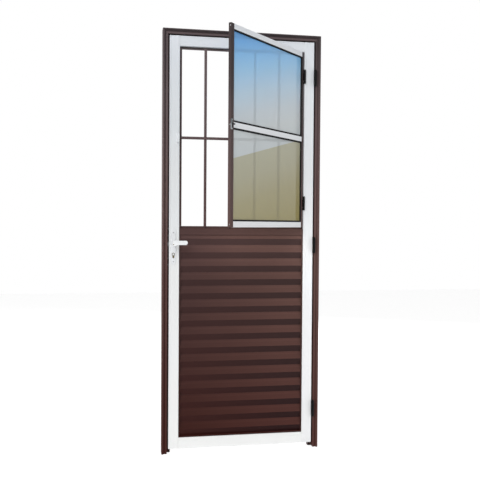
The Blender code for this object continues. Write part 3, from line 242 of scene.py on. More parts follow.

# Tones of the long profiles from foot to head: (height in metres, display colour). They are painted light: the
# whites darker towards the top with a painted highlight about a metre up the hinge side, the browns redder and
# darker at the foot as painted reflection and in painted shade towards the top.
WHITE_LOCK = (
    (0.06, (247, 248, 247)), (0.30, (241, 241, 240)), (0.50, (234, 235, 236)), (0.70, (230, 231, 231)),
    (0.90, (225, 226, 226)), (1.15, (223, 226, 228)), (1.40, (219, 221, 223)), (1.60, (213, 216, 219)),
    (1.80, (211, 214, 217)), (2.04, (208, 211, 216)),
)
WHITE_HINGE = (
    (0.06, (246, 247, 248)), (0.50, (244, 245, 246)), (0.74, (243, 244, 246)), (0.85, (248, 251, 253)),
    (0.95, (251, 253, 254)), (1.03, (253, 254, 255)), (1.12, (244, 247, 249)), (1.22, (238, 240, 243)),
    (1.40, (229, 232, 235)), (1.80, (226, 230, 233)), (1.92, (219, 223, 227)), (2.05, (210, 214, 219)),
)
BROWN_LOCK = (
    (0.06, (68, 34, 29)), (0.30, (71, 40, 36)), (0.50, (76, 47, 44)), (0.70, (80, 54, 50)),
    (0.85, (82, 56, 53)), (1.00, (89, 66, 64)), (1.15, (93, 73, 71)), (1.30, (97, 79, 77)),
    (1.60, (97, 82, 82)), (1.80, (95, 83, 83)), (1.95, (84, 73, 74)), (2.04, (81, 71, 72)),
)
BROWN_HINGE = (
    (0.06, (80, 50, 45)), (0.30, (84, 55, 51)), (0.50, (86, 60, 56)), (0.70, (87, 62, 57)),
    (0.85, (92, 67, 63)), (1.00, (98, 74, 69)), (1.15, (99, 76, 73)), (1.30, (98, 76, 74)),
    (1.60, (95, 78, 78)), (1.75, (91, 76, 75)), (1.85, (83, 70, 71)), (1.95, (74, 64, 65)),
    (2.05, (66, 57, 58)),
)
BROWN_CASEMENT = (
    (1.15, (90, 69, 66)), (1.31, (90, 71, 69)), (1.42, (85, 69, 68)), (1.50, (83, 68, 68)),
    (1.57, (78, 64, 64)), (1.66, (75, 63, 64)), (1.74, (65, 55, 56)), (1.83, (59, 50, 51)),
)

# The same across the level profiles: the head's groove darker as painted shade, and the top lining dark to
# black at its upper edge as the painted shadow of the leaf's top rail; and on the catch plate, pale at its foot
# and dark at its top.
BROWN_HEAD = (
    (2.0735, (88, 75, 76)), (2.0838, (84, 72, 73)), (2.0848, (50, 43, 44)), (2.0925, (50, 43, 44)),
    (2.0935, (84, 72, 73)), (2.0995, (80, 69, 70)),
)
BROWN_LINING = (
    (2.0040, (98, 86, 87)), (2.0095, (90, 79, 80)), (2.0115, (34, 29, 30)), (2.0165, (20, 17, 18)),
)
CATCH_PLATE = (
    (1.5600, (172, 177, 182)), (1.5770, (156, 161, 166)), (1.5830, (84, 90, 93)), (1.6000, (84, 90, 93)),
)
BROWN_PROFILES = (
    ("lock side", BROWN_LOCK, "frame_jamb_lock_side"), ("hinge side", BROWN_HINGE, "frame_jamb_hinge_side"),
    ("casement", BROWN_CASEMENT, "sash_stile"), ("head", BROWN_HEAD, "frame_head"),
    ("top lining", BROWN_LINING, "lining_top"),
)

# Glass, whose colour holds a painted reflection of sky, hazy horizon and warm ground. The heights of its table
# hold at the middle of the open casement.
GLASS_TONES = (
    (1.13, (170, 160, 108)), (1.28, (178, 171, 132)), (1.40, (186, 183, 157)), (1.4985, (192, 191, 168)),
    (1.5005, (210, 217, 220)), (1.60, (216, 222, 224)), (1.68, (212, 222, 229)), (1.78, (197, 222, 240)),
    (1.88, (166, 214, 247)), (1.95, (141, 204, 249)), (2.04, (100, 184, 247)),
)
GLASS_LOW, GLASS_HIGH = 1.10, 2.06
GLASS_SLOPE = 0.2408  # rise of a tone per metre from the free stile towards the hinges
GLASS_CLEAR = 0.38  # share of the light that passes through
GLASS_ROUGHNESS = (0.008, 0.016)
SMEARS = (0.35, 0.75)  # noise values of clean and of smeared glass

# Slats of the panel, in metres.
PLANK, NEXT_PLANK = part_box("panel_plank_1"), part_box("panel_plank_2")
SLATS_PER_PLANK = 3
SLAT_RISE = (PLANK[0].z - NEXT_PLANK[0].z) / SLATS_PER_PLANK
SLAT_TOP = PLANK[1].z - 0.0257  # crest of the topmost slat
SLAT_FLUTE = 0.0042  # spacing of the fine grooves
SLAT_FLUTE_GAIN = 6.0  # height of the grooves as a multiple of the coat's own peel
SLAT_LEAN = 0.08  # upward part of the normal at which a face wholly takes the painted light of the upward faces
SLAT_LOCK_X, SLAT_HINGE_X = -0.27, 0.24  # where the tones of the two sides are reached
SLAT_FOOT, SLAT_HEAD = 0.05, 1.12  # where the tones of foot and top are reached
SLAT_LIFT = (0.84, 1.08, 1.84, 2.6)  # two heights, and the factors of brightness below and above them: painted light, the panel brighter towards its top
SLAT_LINES = (  # share of the way down a slat, and brightness there: a painted highlight band and a painted shade line on each slat
    (0.0, 0.49), (0.46, 0.5), (0.56, 0.5), (0.59, 0.54), (0.66, 0.54), (0.70, 0.485), (0.76, 0.5), (1.0, 0.5),
)


# ---------------------------------------- nodes

def opaque(rgb):
    """A colour with its alpha."""
    return (*rgb, 1.0)


def grey(level):
    """A grey with its alpha."""
    return (level, level, level, 1.0)


def new_tree(name):
    """An empty node material with its output, and its Principled shader."""
    material = bpy.data.materials.new(name)
    material.use_nodes = True
    nodes = material.node_tree.nodes
    nodes.clear()
    output = nodes.new("ShaderNodeOutputMaterial")
    shader = nodes.new("ShaderNodeBsdfPrincipled")
    material.node_tree.links.new(shader.outputs["BSDF"], output.inputs["Surface"])
    return material, nodes, material.node_tree.links, shader


def new_group(name, inputs, outputs):
    """A shader node group with its input and output nodes. Inputs are (name, socket kind, default)."""
    group = bpy.data.node_groups.new(name, "ShaderNodeTree")
    for title, kind, value in inputs:
        socket = group.interface.new_socket(title, in_out="INPUT", socket_type=kind)
        socket.default_value = value
    for title, kind in outputs:
        group.interface.new_socket(title, in_out="OUTPUT", socket_type=kind)
    return group, group.nodes.new("NodeGroupInput"), group.nodes.new("NodeGroupOutput")


def add_group(nodes, name, build):
    """Places a shared node group in a tree. The group is built the first time that it is asked for."""
    node = nodes.new("ShaderNodeGroup")
    node.node_tree = bpy.data.node_groups.get(name) or build()
    return node


def feed(links, socket, value):
    """Links a socket to another one, or gives it a plain value."""
    if isinstance(value, bpy.types.NodeSocket):
        links.new(value, socket)
    else:
        socket.default_value = value


def object_place(nodes):
    """The shaded point in metres, as a vector socket."""
    return nodes.new("ShaderNodeTexCoord").outputs["Object"]


def split(nodes, links, vector):
    """The X, Y and Z sockets of a vector."""
    node = nodes.new("ShaderNodeSeparateXYZ")
    links.new(vector, node.inputs[0])
    return node.outputs


def mix_colour(nodes, links, factor, first, second):
    """Mixes two colours; gives its result socket."""
    node = nodes.new("ShaderNodeMix")
    node.data_type = "RGBA"
    for socket, value in ((node.inputs[0], factor), (node.inputs[6], first), (node.inputs[7], second)):
        feed(links, socket, value)
    return node.outputs[2]


def scale_colour(nodes, links, tone, factor):
    """A colour times a number; gives its result socket."""
    node = nodes.new("ShaderNodeVectorMath")
    node.operation = "SCALE"
    links.new(tone, node.inputs[0])
    feed(links, node.inputs["Scale"], factor)
    return node.outputs["Vector"]


def dot_product(nodes, links, first, second):
    """The dot product of two vectors; gives its result socket."""
    node = nodes.new("ShaderNodeVectorMath")
    node.operation = "DOT_PRODUCT"
    feed(links, node.inputs[0], first)
    feed(links, node.inputs[1], second)
    return node.outputs["Value"]


def math_node(nodes, links, operation, *values, clamp=False):
    """A math node fed by sockets or plain numbers; gives its result socket."""
    node = nodes.new("ShaderNodeMath")
    node.operation = operation
    node.use_clamp = clamp
    for socket, value in zip(node.inputs, values):
        feed(links, socket, value)
    return node.outputs[0]


def range_node(nodes, links, value, low, high, out_low, out_high, smooth=False):
    """Maps a value from one range to another."""
    node = nodes.new("ShaderNodeMapRange")
    node.interpolation_type = "SMOOTHSTEP" if smooth else "LINEAR"
    links.new(value, node.inputs["Value"])
    node.inputs["From Min"].default_value = low
    node.inputs["From Max"].default_value = high
    node.inputs["To Min"].default_value = out_low
    node.inputs["To Max"].default_value = out_high
    return node.outputs["Result"]


def noise_node(nodes, links, vector, scale, detail=3.0, roughness=0.5):
    """A noise texture on a vector; gives its value socket."""
    node = nodes.new("ShaderNodeTexNoise")
    links.new(vector, node.inputs["Vector"])
    node.inputs["Scale"].default_value = scale
    node.inputs["Detail"].default_value = detail
    node.inputs["Roughness"].default_value = roughness
    return node.outputs["Fac"]


def ramp_node(nodes, links, share, stops):
    """A colour ramp through (share, linear colour) stops, which rise; gives its colour socket."""
    node = nodes.new("ShaderNodeValToRGB")
    elements = node.color_ramp.elements
    while len(elements) < len(stops):
        elements.new(0.5)
    for element, (position, rgb) in zip(elements, stops):
        element.position = position
        element.color = opaque(rgb)
    links.new(share, node.inputs[0])
    return node.outputs["Color"]


def bump_node(nodes, links, height, strength, distance, normal=None):
    """Relief from a height; gives its normal socket."""
    node = nodes.new("ShaderNodeBump")
    node.inputs["Strength"].default_value = strength
    node.inputs["Distance"].default_value = distance
    links.new(height, node.inputs["Height"])
    if normal is not None:
        links.new(normal, node.inputs["Normal"])
    return node.outputs["Normal"]


def height_share(nodes, links):
    """How far up the door the shaded point is: 0 at the floor and 1 at the top."""
    height = split(nodes, links, object_place(nodes))["Z"]
    return math_node(nodes, links, "DIVIDE", height, DOOR_HEIGHT, clamp=True)


# ---------------------------------------- shared effects

def height_fade_group():
    """Colour that passes from one tone at the foot of the door to another at its head; where the two differ,
    this is painted light.
    """
    group, entry, leave = new_group(
        "Height fade",
        [("Foot", "NodeSocketColor", grey(0.5)), ("Head", "NodeSocketColor", grey(0.5))],
        [("Colour", "NodeSocketColor")],
    )
    nodes, links = group.nodes, group.links
    tone = mix_colour(nodes, links, height_share(nodes, links), entry.outputs["Foot"], entry.outputs["Head"])
    links.new(tone, leave.inputs["Colour"])
    return group


def edge_group():
    """A mask of the sharp edges of a solid, from how far its rounded normal leans away from its flat one."""
    group, _, leave = new_group(
        "Edge mask", [], [("Mask", "NodeSocketFloat"), ("Rounded", "NodeSocketVector")],
    )
    nodes, links = group.nodes, group.links
    bevel = nodes.new("ShaderNodeBevel")
    bevel.samples = 4
    bevel.inputs["Radius"].default_value = EDGE_RADIUS
    flat = nodes.new("ShaderNodeNewGeometry").outputs["True Normal"]
    lean = dot_product(nodes, links, bevel.outputs["Normal"], flat)
    mask = range_node(nodes, links, lean, EDGE_BEGINS, EDGE_FULL, 0.0, 1.0, smooth=True)
    links.new(mask, leave.inputs["Mask"])
    links.new(bevel.outputs["Normal"], leave.inputs["Rounded"])
    return group


def coat_group():
    """The fine skin of a powder coat: a height for its orange peel, and slow and fine changes of tone."""
    group, entry, leave = new_group(
        "Powder coat skin",
        [("Colour", "NodeSocketColor", grey(0.5)), ("Change", "NodeSocketFloat", 0.05),
         ("Roughness", "NodeSocketFloat", 0.4)],
        [("Colour", "NodeSocketColor"), ("Roughness", "NodeSocketFloat"), ("Height", "NodeSocketFloat")],
    )
    nodes, links = group.nodes, group.links
    place = object_place(nodes)
    slow = noise_node(nodes, links, place, scale=3.5, detail=4.0, roughness=0.55)
    fine = noise_node(nodes, links, place, scale=900.0, detail=2.0)
    both = math_node(nodes, links, "MULTIPLY_ADD", fine, COAT_FINE, slow)
    swing = range_node(nodes, links, both, *COAT_SPAN, -1.0, 1.0)
    change = math_node(nodes, links, "MULTIPLY", swing, entry.outputs["Change"])
    factor = math_node(nodes, links, "ADD", change, 1.0)
    links.new(scale_colour(nodes, links, entry.outputs["Colour"], factor), leave.inputs["Colour"])
    rough = math_node(nodes, links, "MULTIPLY_ADD", swing, COAT_ROUGHER, entry.outputs["Roughness"])
    links.new(rough, leave.inputs["Roughness"])
    links.new(fine, leave.inputs["Height"])
    return group


# ---------------------------------------- materials

def tone_by_height(nodes, links, table):
    """Colour that follows a table of heights and display colours up the door."""
    stops = [(height / DOOR_HEIGHT, srgb(*tone)) for height, tone in table]
    return ramp_node(nodes, links, height_share(nodes, links), stops)


def tone_of_slats(nodes, links, tones):
    """Tone of the slats: paler on their upward faces as painted light, more so near the hinges and towards the
    top as painted reflection, with a painted highlight and shade line on each.
    """
    place = split(nodes, links, object_place(nodes))
    normal = nodes.new("ShaderNodeNewGeometry").outputs["True Normal"]
    facing = split(nodes, links, normal)["Z"]
    # Share of painted light, by how far the face looks up.
    upward = range_node(nodes, links, facing, -SLAT_LEAN, SLAT_LEAN, 0.0, 1.0)
    across = range_node(nodes, links, place["X"], SLAT_LOCK_X, SLAT_HINGE_X, 0.0, 1.0)
    rise = range_node(nodes, links, place["Z"], SLAT_FOOT, SLAT_HEAD, 0.0, 1.0)
    kinds = []
    for kind in ("clean", "painted_light"):
        sides = []
        for side in ("lock", "hinge"):
            low, high = (opaque(getattr(tones, f"{kind}_{side}_{end}")) for end in ("low", "high"))
            sides.append(mix_colour(nodes, links, rise, low, high))
        kinds.append(mix_colour(nodes, links, across, *sides))
    tone = mix_colour(nodes, links, upward, *kinds)
    # A painted highlight and shade line on each slat, and painted light towards the panel's top.
    down = math_node(nodes, links, "SUBTRACT", SLAT_TOP, place["Z"])
    phase = math_node(nodes, links, "FRACT", math_node(nodes, links, "DIVIDE", down, SLAT_RISE))
    lines = ramp_node(nodes, links, phase, [(share, (level,) * 3) for share, level in SLAT_LINES])
    lift = range_node(nodes, links, place["Z"], *SLAT_LIFT, smooth=True)
    return scale_colour(nodes, links, tone, math_node(nodes, links, "MULTIPLY", lines, lift))


def flute_height(nodes, links):
    """Fine level grooves rolled along the slats."""
    height = split(nodes, links, object_place(nodes))["Z"]
    turns = math_node(nodes, links, "MULTIPLY", height, 2 * math.pi / SLAT_FLUTE)
    return math_node(nodes, links, "SINE", turns)


def paint(
    name, roughness, fade=None, table=None, slats=None, change=0.05, edge_highlight_gain=1.25, peel=0.05, gloss=0.5,
):
    """Powder coat with a fine peel and edges made paler as a painted highlight. Its tone fades from a foot
    colour to a head colour, or follows a table of heights, or the settings of the slats; where it changes, it
    is painted light."""
    material, nodes, links, shader = new_tree(name)
    shader.inputs["Specular IOR Level"].default_value = gloss
    coat = add_group(nodes, "Powder coat skin", coat_group)
    coat.inputs["Change"].default_value = change
    coat.inputs["Roughness"].default_value = roughness
    if slats is not None:
        links.new(tone_of_slats(nodes, links, slats), coat.inputs["Colour"])
    elif table is not None:
        links.new(tone_by_height(nodes, links, table), coat.inputs["Colour"])
    else:
        blend = add_group(nodes, "Height fade", height_fade_group)
        for title, tone in zip(("Foot", "Head"), fade):
            blend.inputs[title].default_value = opaque(tone)
        links.new(blend.outputs["Colour"], coat.inputs["Colour"])
    edge = add_group(nodes, "Edge mask", edge_group)
    # Edges made paler by the edge mask: a painted highlight.
    paler = scale_colour(nodes, links, coat.outputs["Colour"], edge_highlight_gain)
    tone = mix_colour(nodes, links, edge.outputs["Mask"], coat.outputs["Colour"], paler)
    links.new(tone, shader.inputs["Base Color"])
    links.new(coat.outputs["Roughness"], shader.inputs["Roughness"])
    height = coat.outputs["Height"]
    if slats is not None:
        height = math_node(nodes, links, "MULTIPLY_ADD", flute_height(nodes, links), SLAT_FLUTE_GAIN, height)
    relief = bump_node(nodes, links, height, peel, PEEL_DEPTH, normal=edge.outputs["Rounded"])
    links.new(relief, shader.inputs["Normal"])
    return material


def metal(name, rgb, roughness, brushed=140.0):
    """Bare or plated metal with fine drawn lines and dull patches."""
    material, nodes, links, shader = new_tree(name)
    shader.inputs["Metallic"].default_value = 1.0
    place = object_place(nodes)
    patches = noise_node(nodes, links, place, scale=90.0, detail=4.0)
    darker = tuple(METAL_DARK * c for c in rgb)
    links.new(mix_colour(nodes, links, patches, opaque(darker), opaque(rgb)), shader.inputs["Base Color"])
    dull = range_node(nodes, links, patches, *PATCHES, roughness + METAL_DULL, roughness)
    links.new(dull, shader.inputs["Roughness"])
    stretched = nodes.new("ShaderNodeMapping")
    stretched.inputs["Scale"].default_value = (brushed * METAL_DRAWN, brushed * METAL_DRAWN, brushed)
    links.new(place, stretched.inputs["Vector"])
    lines = noise_node(nodes, links, stretched.outputs["Vector"], scale=1.0, detail=2.0)
    edge = add_group(nodes, "Edge mask", edge_group)
    relief = bump_node(nodes, links, lines, METAL_GRAIN, GRAIN_DEPTH, normal=edge.outputs["Rounded"])
    links.new(relief, shader.inputs["Normal"])
    return material


def rubber(name, rgb):
    """Matt black rubber with a faint bloom."""
    material, nodes, links, shader = new_tree(name)
    shader.inputs["Specular IOR Level"].default_value = 0.15
    place = object_place(nodes)
    bloom = noise_node(nodes, links, place, scale=45.0, detail=4.0, roughness=0.6)
    paler = tuple(min(1.0, RUBBER_BLOOM * c + 0.001) for c in rgb)
    links.new(mix_colour(nodes, links, bloom, opaque(rgb), opaque(paler)), shader.inputs["Base Color"])
    links.new(range_node(nodes, links, bloom, *PATCHES, *RUBBER_ROUGHNESS), shader.inputs["Roughness"])
    grain = noise_node(nodes, links, place, scale=1500.0, detail=2.0)
    links.new(bump_node(nodes, links, grain, RUBBER_GRAIN, GRAIN_DEPTH), shader.inputs["Normal"])
    return material


def glass(name):
    """Part-clear glass whose colour is a painted reflection: the sky's blue over a hazy horizon and a warm
    foot.
    """
    material, nodes, links, shader = new_tree(name)
    shader.inputs["Transmission Weight"].default_value = GLASS_CLEAR
    shader.inputs["IOR"].default_value = 1.5
    place = object_place(nodes)
    low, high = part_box("glass_upper")
    middle = (low + high) / 2
    tilt = GLASS_SLOPE * math.sqrt(0.5)
    rise = dot_product(nodes, links, place, (-tilt, -tilt, 1.0))
    level = math_node(nodes, links, "ADD", rise, tilt * (middle.x + middle.y))
    share = range_node(nodes, links, level, GLASS_LOW, GLASS_HIGH, 0.0, 1.0)
    stops = [((height - GLASS_LOW) / (GLASS_HIGH - GLASS_LOW), srgb(*tone)) for height, tone in GLASS_TONES]
    # Painted reflection: the colour follows the table up the pane.
    links.new(ramp_node(nodes, links, share, stops), shader.inputs["Base Color"])
    smear = noise_node(nodes, links, place, scale=7.0, detail=4.0, roughness=0.6)
    links.new(range_node(nodes, links, smear, *SMEARS, *GLASS_ROUGHNESS), shader.inputs["Roughness"])
    return material


def dress(material, *names):
    """Gives CAD nodes one material."""
    for name in names:
        node = frame["nodes"][name]
        node.data.materials.clear()
        node.data.materials.append(material)


def nodes_like(*starts):
    """Names of the CAD nodes that begin with any of these words."""
    found = [name for name in sorted(frame["nodes"]) if name.startswith(starts)]
    if not found:
        raise RuntimeError(f"no part is named like {starts}")
    return found


# ---------------------------------------- modelling

def deselect():
    """Leaves edit mode, with nothing selected."""
    if bpy.context.mode != "OBJECT":
        bpy.ops.object.mode_set(mode="OBJECT")
    bpy.ops.object.select_all(action="DESELECT")


def pick(obj):
    """Selects one object alone and makes it the active one."""
    deselect()
    obj.select_set(True)
    bpy.context.view_layer.objects.active = obj


def edit(obj):
    """Opens one object in edit mode with nothing selected."""
    pick(obj)
    bpy.ops.object.mode_set(mode="EDIT")
    bpy.ops.mesh.select_mode(type="FACE")
    bpy.ops.mesh.select_all(action="DESELECT")


def select_faces(obj, test):
    """Selects the faces whose normal passes a test."""
    bpy.ops.object.mode_set(mode="OBJECT")
    for face in obj.data.polygons:
        face.select = test(face.normal)
    bpy.ops.object.mode_set(mode="EDIT")


def settle(obj):
    """Ends edit mode and puts the object's place into its mesh."""
    pick(obj)
    bpy.ops.object.transform_apply(location=True, rotation=True, scale=True)
    deselect()


def smooth(obj, degrees=35.0):
    """Shades a piece smooth, apart from edges sharper than that many degrees."""
    pick(obj)
    bpy.ops.object.shade_smooth_by_angle(angle=math.radians(degrees))
    deselect()


def screw_master(sides):
    """A pan screw head of 1 m radius that stands on Z = 0: a low dome with a cross recess."""
    deselect()
    bpy.ops.mesh.primitive_cylinder_add(
        vertices=sides, radius=1.0, depth=HEAD_HEIGHT, location=(0.0, 0.0, HEAD_HEIGHT / 2),
    )
    head = bpy.context.object
    head.name = "screw_master"
    edit(head)
    select_faces(head, lambda normal: normal.z > 0.9)
    for thickness, lift in HEAD_DOME:
        bpy.ops.mesh.inset(thickness=thickness)
        bpy.ops.transform.translate(value=(0.0, 0.0, lift))
    settle(head)
    for turn in (0.0, math.pi / 2):
        deselect()
        bpy.ops.mesh.primitive_cube_add(
            size=1.0, location=(0.0, 0.0, CROSS_HEIGHT), rotation=(0.0, 0.0, turn),
        )
        cross = bpy.context.object
        edit(cross)
        bpy.ops.mesh.select_all(action="SELECT")
        bpy.ops.transform.resize(value=CROSS_ARM)
        select_faces(cross, lambda normal: normal.z < -0.9)
        bpy.ops.transform.resize(value=CROSS_TAPER)
        settle(cross)
        cutter = head.modifiers.new("cross", "BOOLEAN")
        cutter.operation = "DIFFERENCE"
        cutter.solver = "EXACT"
        cutter.object = cross
        pick(head)
        bpy.ops.object.modifier_apply(modifier=cutter.name)
        bpy.data.objects.remove(cross)
    smooth(head)
    return head


def screws(name, master, places, radius, body, material):
    """Copies of the screw head at (point, outward direction) places, joined as one piece on a body."""
    made = []
    for number, (point, outward) in enumerate(places):
        copy = master.copy()
        copy.data = master.data.copy()
        bpy.context.scene.collection.objects.link(copy)
        turn = outward.to_track_quat("Z", "Y").to_matrix().to_4x4()
        spin = Matrix.Rotation(SCREW_TURN + SCREW_TURN_STEP * number, 4, "Z")
        copy.data.transform(Matrix.Translation(point) @ turn @ spin @ Matrix.Scale(radius, 4))
        copy.data.materials.clear()
        copy.data.materials.append(material)
        made.append(copy)
    deselect()
    for copy in made:
        copy.select_set(True)
    bpy.context.view_layer.objects.active = made[0]
    if len(made) > 1:
        bpy.ops.object.join()
    made[0].name = name
    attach(made[0], body)


def sash_turn():
    """The turn that carries the shut casement to where it stands open at rest, about its hinge pins."""
    swing = next(j for j in frame["record"]["behaviour"]["joints"] if j["name"] == "casement_swing")
    pin = Vector((swing["pos_m"][0], swing["pos_m"][1], 0.0))
    return Matrix.Translation(pin) @ Matrix.Rotation(math.radians(45.0), 4, "Z") @ Matrix.Translation(-pin)


def shut_box(name):
    """Lowest and highest corners of one of the casement's nodes, as it stands when the casement is shut."""
    back = sash_turn().inverted()
    points = [back @ vertex.co for vertex in frame["nodes"][name].data.vertices]
    return tuple(Vector(limit(point[axis] for point in points) for axis in range(3)) for limit in (min, max))


def block(name, low, high):
    """A block between two corners."""
    deselect()
    middle = [(a + b) / 2 for a, b in zip(low, high)]
    bpy.ops.mesh.primitive_cube_add(size=1.0, location=middle, scale=[b - a for a, b in zip(low, high)])
    made = bpy.context.object
    made.name = name
    settle(made)
    return made


def round_edges(obj, radius):
    """Rounds every edge of a piece."""
    edit(obj)
    bpy.ops.mesh.select_mode(type="EDGE")
    bpy.ops.mesh.select_all(action="SELECT")
    bpy.ops.mesh.bevel(offset=radius, segments=2, affect="EDGES", clamp_overlap=True)
    bpy.ops.mesh.select_all(action="SELECT")
    bpy.ops.mesh.normals_make_consistent(inside=False)
    deselect()
    smooth(obj)


def seat_on_casement(obj, material):
    """Turns a piece made for the shut casement to where the casement stands, and lets it ride there."""
    obj.matrix_world = sash_turn()
    settle(obj)
    obj.data.materials.clear()
    obj.data.materials.append(material)
    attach(obj, "casement")


# ---------------------------------------- operators

class DOOR_OT_paint_frame(bpy.types.Operator):
    """Paints the frame, the grille, the linings and the casement's stiles brown"""
    bl_idname = "door.paint_frame"
    bl_label = "Paint frame and grille"

    def execute(self, context):
        finish = context.scene.door_finish
        looks = {"roughness": finish.coat_roughness, "edge_highlight_gain": 1.1, "gloss": 0.12}
        # The brown's fade from foot to head is a painted reflection.
        brown = paint("Brown powder coat", fade=(finish.brown_low, finish.brown_high), **looks)
        dress(brown, *nodes_like("grille_", "lining_"))
        # Each table paints light and shade along its profile.
        for name, table, start in BROWN_PROFILES:
            dress(paint(f"Brown powder coat, {name}", table=table, **looks), *nodes_like(start))
        return {"FINISHED"}


class DOOR_OT_paint_leaf(bpy.types.Operator):
    """Paints the leaf's stiles and rails and the casement's rails white"""
    bl_idname = "door.paint_leaf"
    bl_label = "Paint leaf and casement rails"

    def execute(self, context):
        finish = context.scene.door_finish
        looks = {"roughness": finish.coat_roughness - WHITE_SMOOTHER, **WHITE_LOOKS}
        # The whites' fades from foot to head are painted shade and light.
        white = paint(
            "White powder coat", fade=(finish.white_low, finish.white_high), edge_highlight_gain=1.06, **looks,
        )
        dress(white, "leaf_top_rail", "leaf_bottom_rail", "casement_keeper")
        # The stiles' tables are painted light, with a painted highlight on the hinge side.
        for side, table in (("lock", WHITE_LOCK), ("hinge", WHITE_HINGE)):
            coat = paint(f"White powder coat, {side} side", table=table, edge_highlight_gain=1.04, **looks)
            dress(coat, f"leaf_stile_{side}_side")
        sash = paint(
            "White powder coat, casement", fade=(finish.sash_low, finish.sash_high), edge_highlight_gain=1.04, **looks,
        )
        dress(sash, "sash_top_rail", "sash_middle_rail", "sash_bottom_rail")
        return {"FINISHED"}


class DOOR_OT_paint_panel(bpy.types.Operator):
    """Paints the slatted panel, its channels and the brown rail above it"""
    bl_idname = "door.paint_panel"
    bl_label = "Paint slatted panel"

    def execute(self, context):
        roughness = context.scene.door_finish.coat_roughness - PANEL_SMOOTHER
        coat = paint(
            "Panel powder coat", roughness, slats=context.scene.door_panel,
            change=0.06, edge_highlight_gain=1.05, gloss=0.10,
        )
        dress(coat, *nodes_like("panel_plank", "panel_channel", "leaf_middle_rail"))
        return {"FINISHED"}


class DOOR_OT_glaze_casement(bpy.types.Operator):
    """Gives the two panes their glass with a painted reflection and the gaskets and the frame seal their rubber
    """
    bl_idname = "door.glaze_casement"
    bl_label = "Glaze casement"

    def execute(self, context):
        dress(glass("Reflective glass"), *nodes_like("glass_"))
        dress(rubber("Black rubber", context.scene.door_finish.rubber), *nodes_like("gasket_", "frame_seal"))
        return {"FINISHED"}


class DOOR_OT_seat_casement_trim(bpy.types.Operator):
    """Seats the bead of the casement's free stile and the wedge gaskets round its two panes"""
    bl_idname = "door.seat_casement_trim"
    bl_label = "Seat casement trim"

    def execute(self, context):
        trim = context.scene.door_trim
        stile = shut_box("sash_stile_free")
        far = shut_box("sash_stile_hinge")
        rails = {name: shut_box(f"sash_{name}_rail") for name in ("top", "middle", "bottom")}
        face = rails["top"][0].y
        left = stile[1].x - TRIM_LAP
        bead = block(
            "free_stile_bead",
            (left, face - trim.bead_stand, stile[0].z + BEAD_SHORT),
            (stile[1].x + trim.bead_width, shut_box("glass_upper")[0].y - TRIM_LAP, stile[1].z - BEAD_SHORT),
        )
        round_edges(bead, trim.edge_round)
        seat_on_casement(bead, bpy.data.materials["Brown powder coat, casement"])
        for pane, under, over in (("upper", "middle", "top"), ("lower", "bottom", "middle")):
            ring = block(
                f"wedge_gasket_{pane}",
                (left, face + trim.wedge_sink, rails[under][1].z - TRIM_LAP),
                (far[0].x + TRIM_LAP, shut_box(f"glass_{pane}")[0].y - TRIM_LAP, rails[over][0].z + TRIM_LAP),
            )
            edit(ring)
            select_faces(ring, lambda normal: abs(normal.y) > 0.9)
            bpy.ops.mesh.inset(thickness=trim.wedge_width, use_individual=True)
            bpy.ops.mesh.bridge_edge_loops()
            round_edges(ring, trim.edge_round)
            seat_on_casement(ring, bpy.data.materials["Black rubber"])
        return {"FINISHED"}


class DOOR_OT_finish_hardware(bpy.types.Operator):
    """Finishes the hinges, the handles, the catch and the lock's metals"""
    bl_idname = "door.finish_hardware"
    bl_label = "Finish hardware"

    def execute(self, context):
        finish = context.scene.door_finish
        black = paint(
            "Black hinge paint", 0.42, fade=(finish.hinge, finish.hinge),
            change=0.15, edge_highlight_gain=1.3, gloss=0.08,
        )
        dress(black, *nodes_like("door_hinge", "casement_hinge"))
        handle = paint("Handle paint", 0.30, fade=(finish.handle, finish.handle), **HANDLE_LOOKS)
        dress(handle, "lever_inside", "lever_outside")
        plate = paint("Handle plate paint", 0.34, fade=(finish.plate, finish.plate), **HANDLE_LOOKS)
        dress(plate, *nodes_like("escutcheon_"))
        plated = metal("Plated steel", finish.steel, 0.34)
        dress(plated, *nodes_like("corner_cleat", "lever_spindle", "latch_bolt", "deadbolt"))
        # The catch plate is pale at its foot and dark at its top.
        dress(paint("Worn plating", 0.4, table=CATCH_PLATE, change=0.02, edge_highlight_gain=1.05), "catch_base")
        # Dark enough that the gap by the lock reads as black shade: painted shade on blackened parts.
        dark = paint(
            "Blackened steel", 0.46, fade=(finish.dark_steel, finish.dark_steel), change=0.12, gloss=0.15,
        )
        dress(dark, "strike_plate", "lock_case", "catch_lever")
        dress(metal("Bright nickel", finish.nickel, 0.36, brushed=90.0), "cylinder_plug")
        dress(metal("Turned brass", finish.brass, 0.32, brushed=90.0), "lock_cylinder")
        return {"FINISHED"}


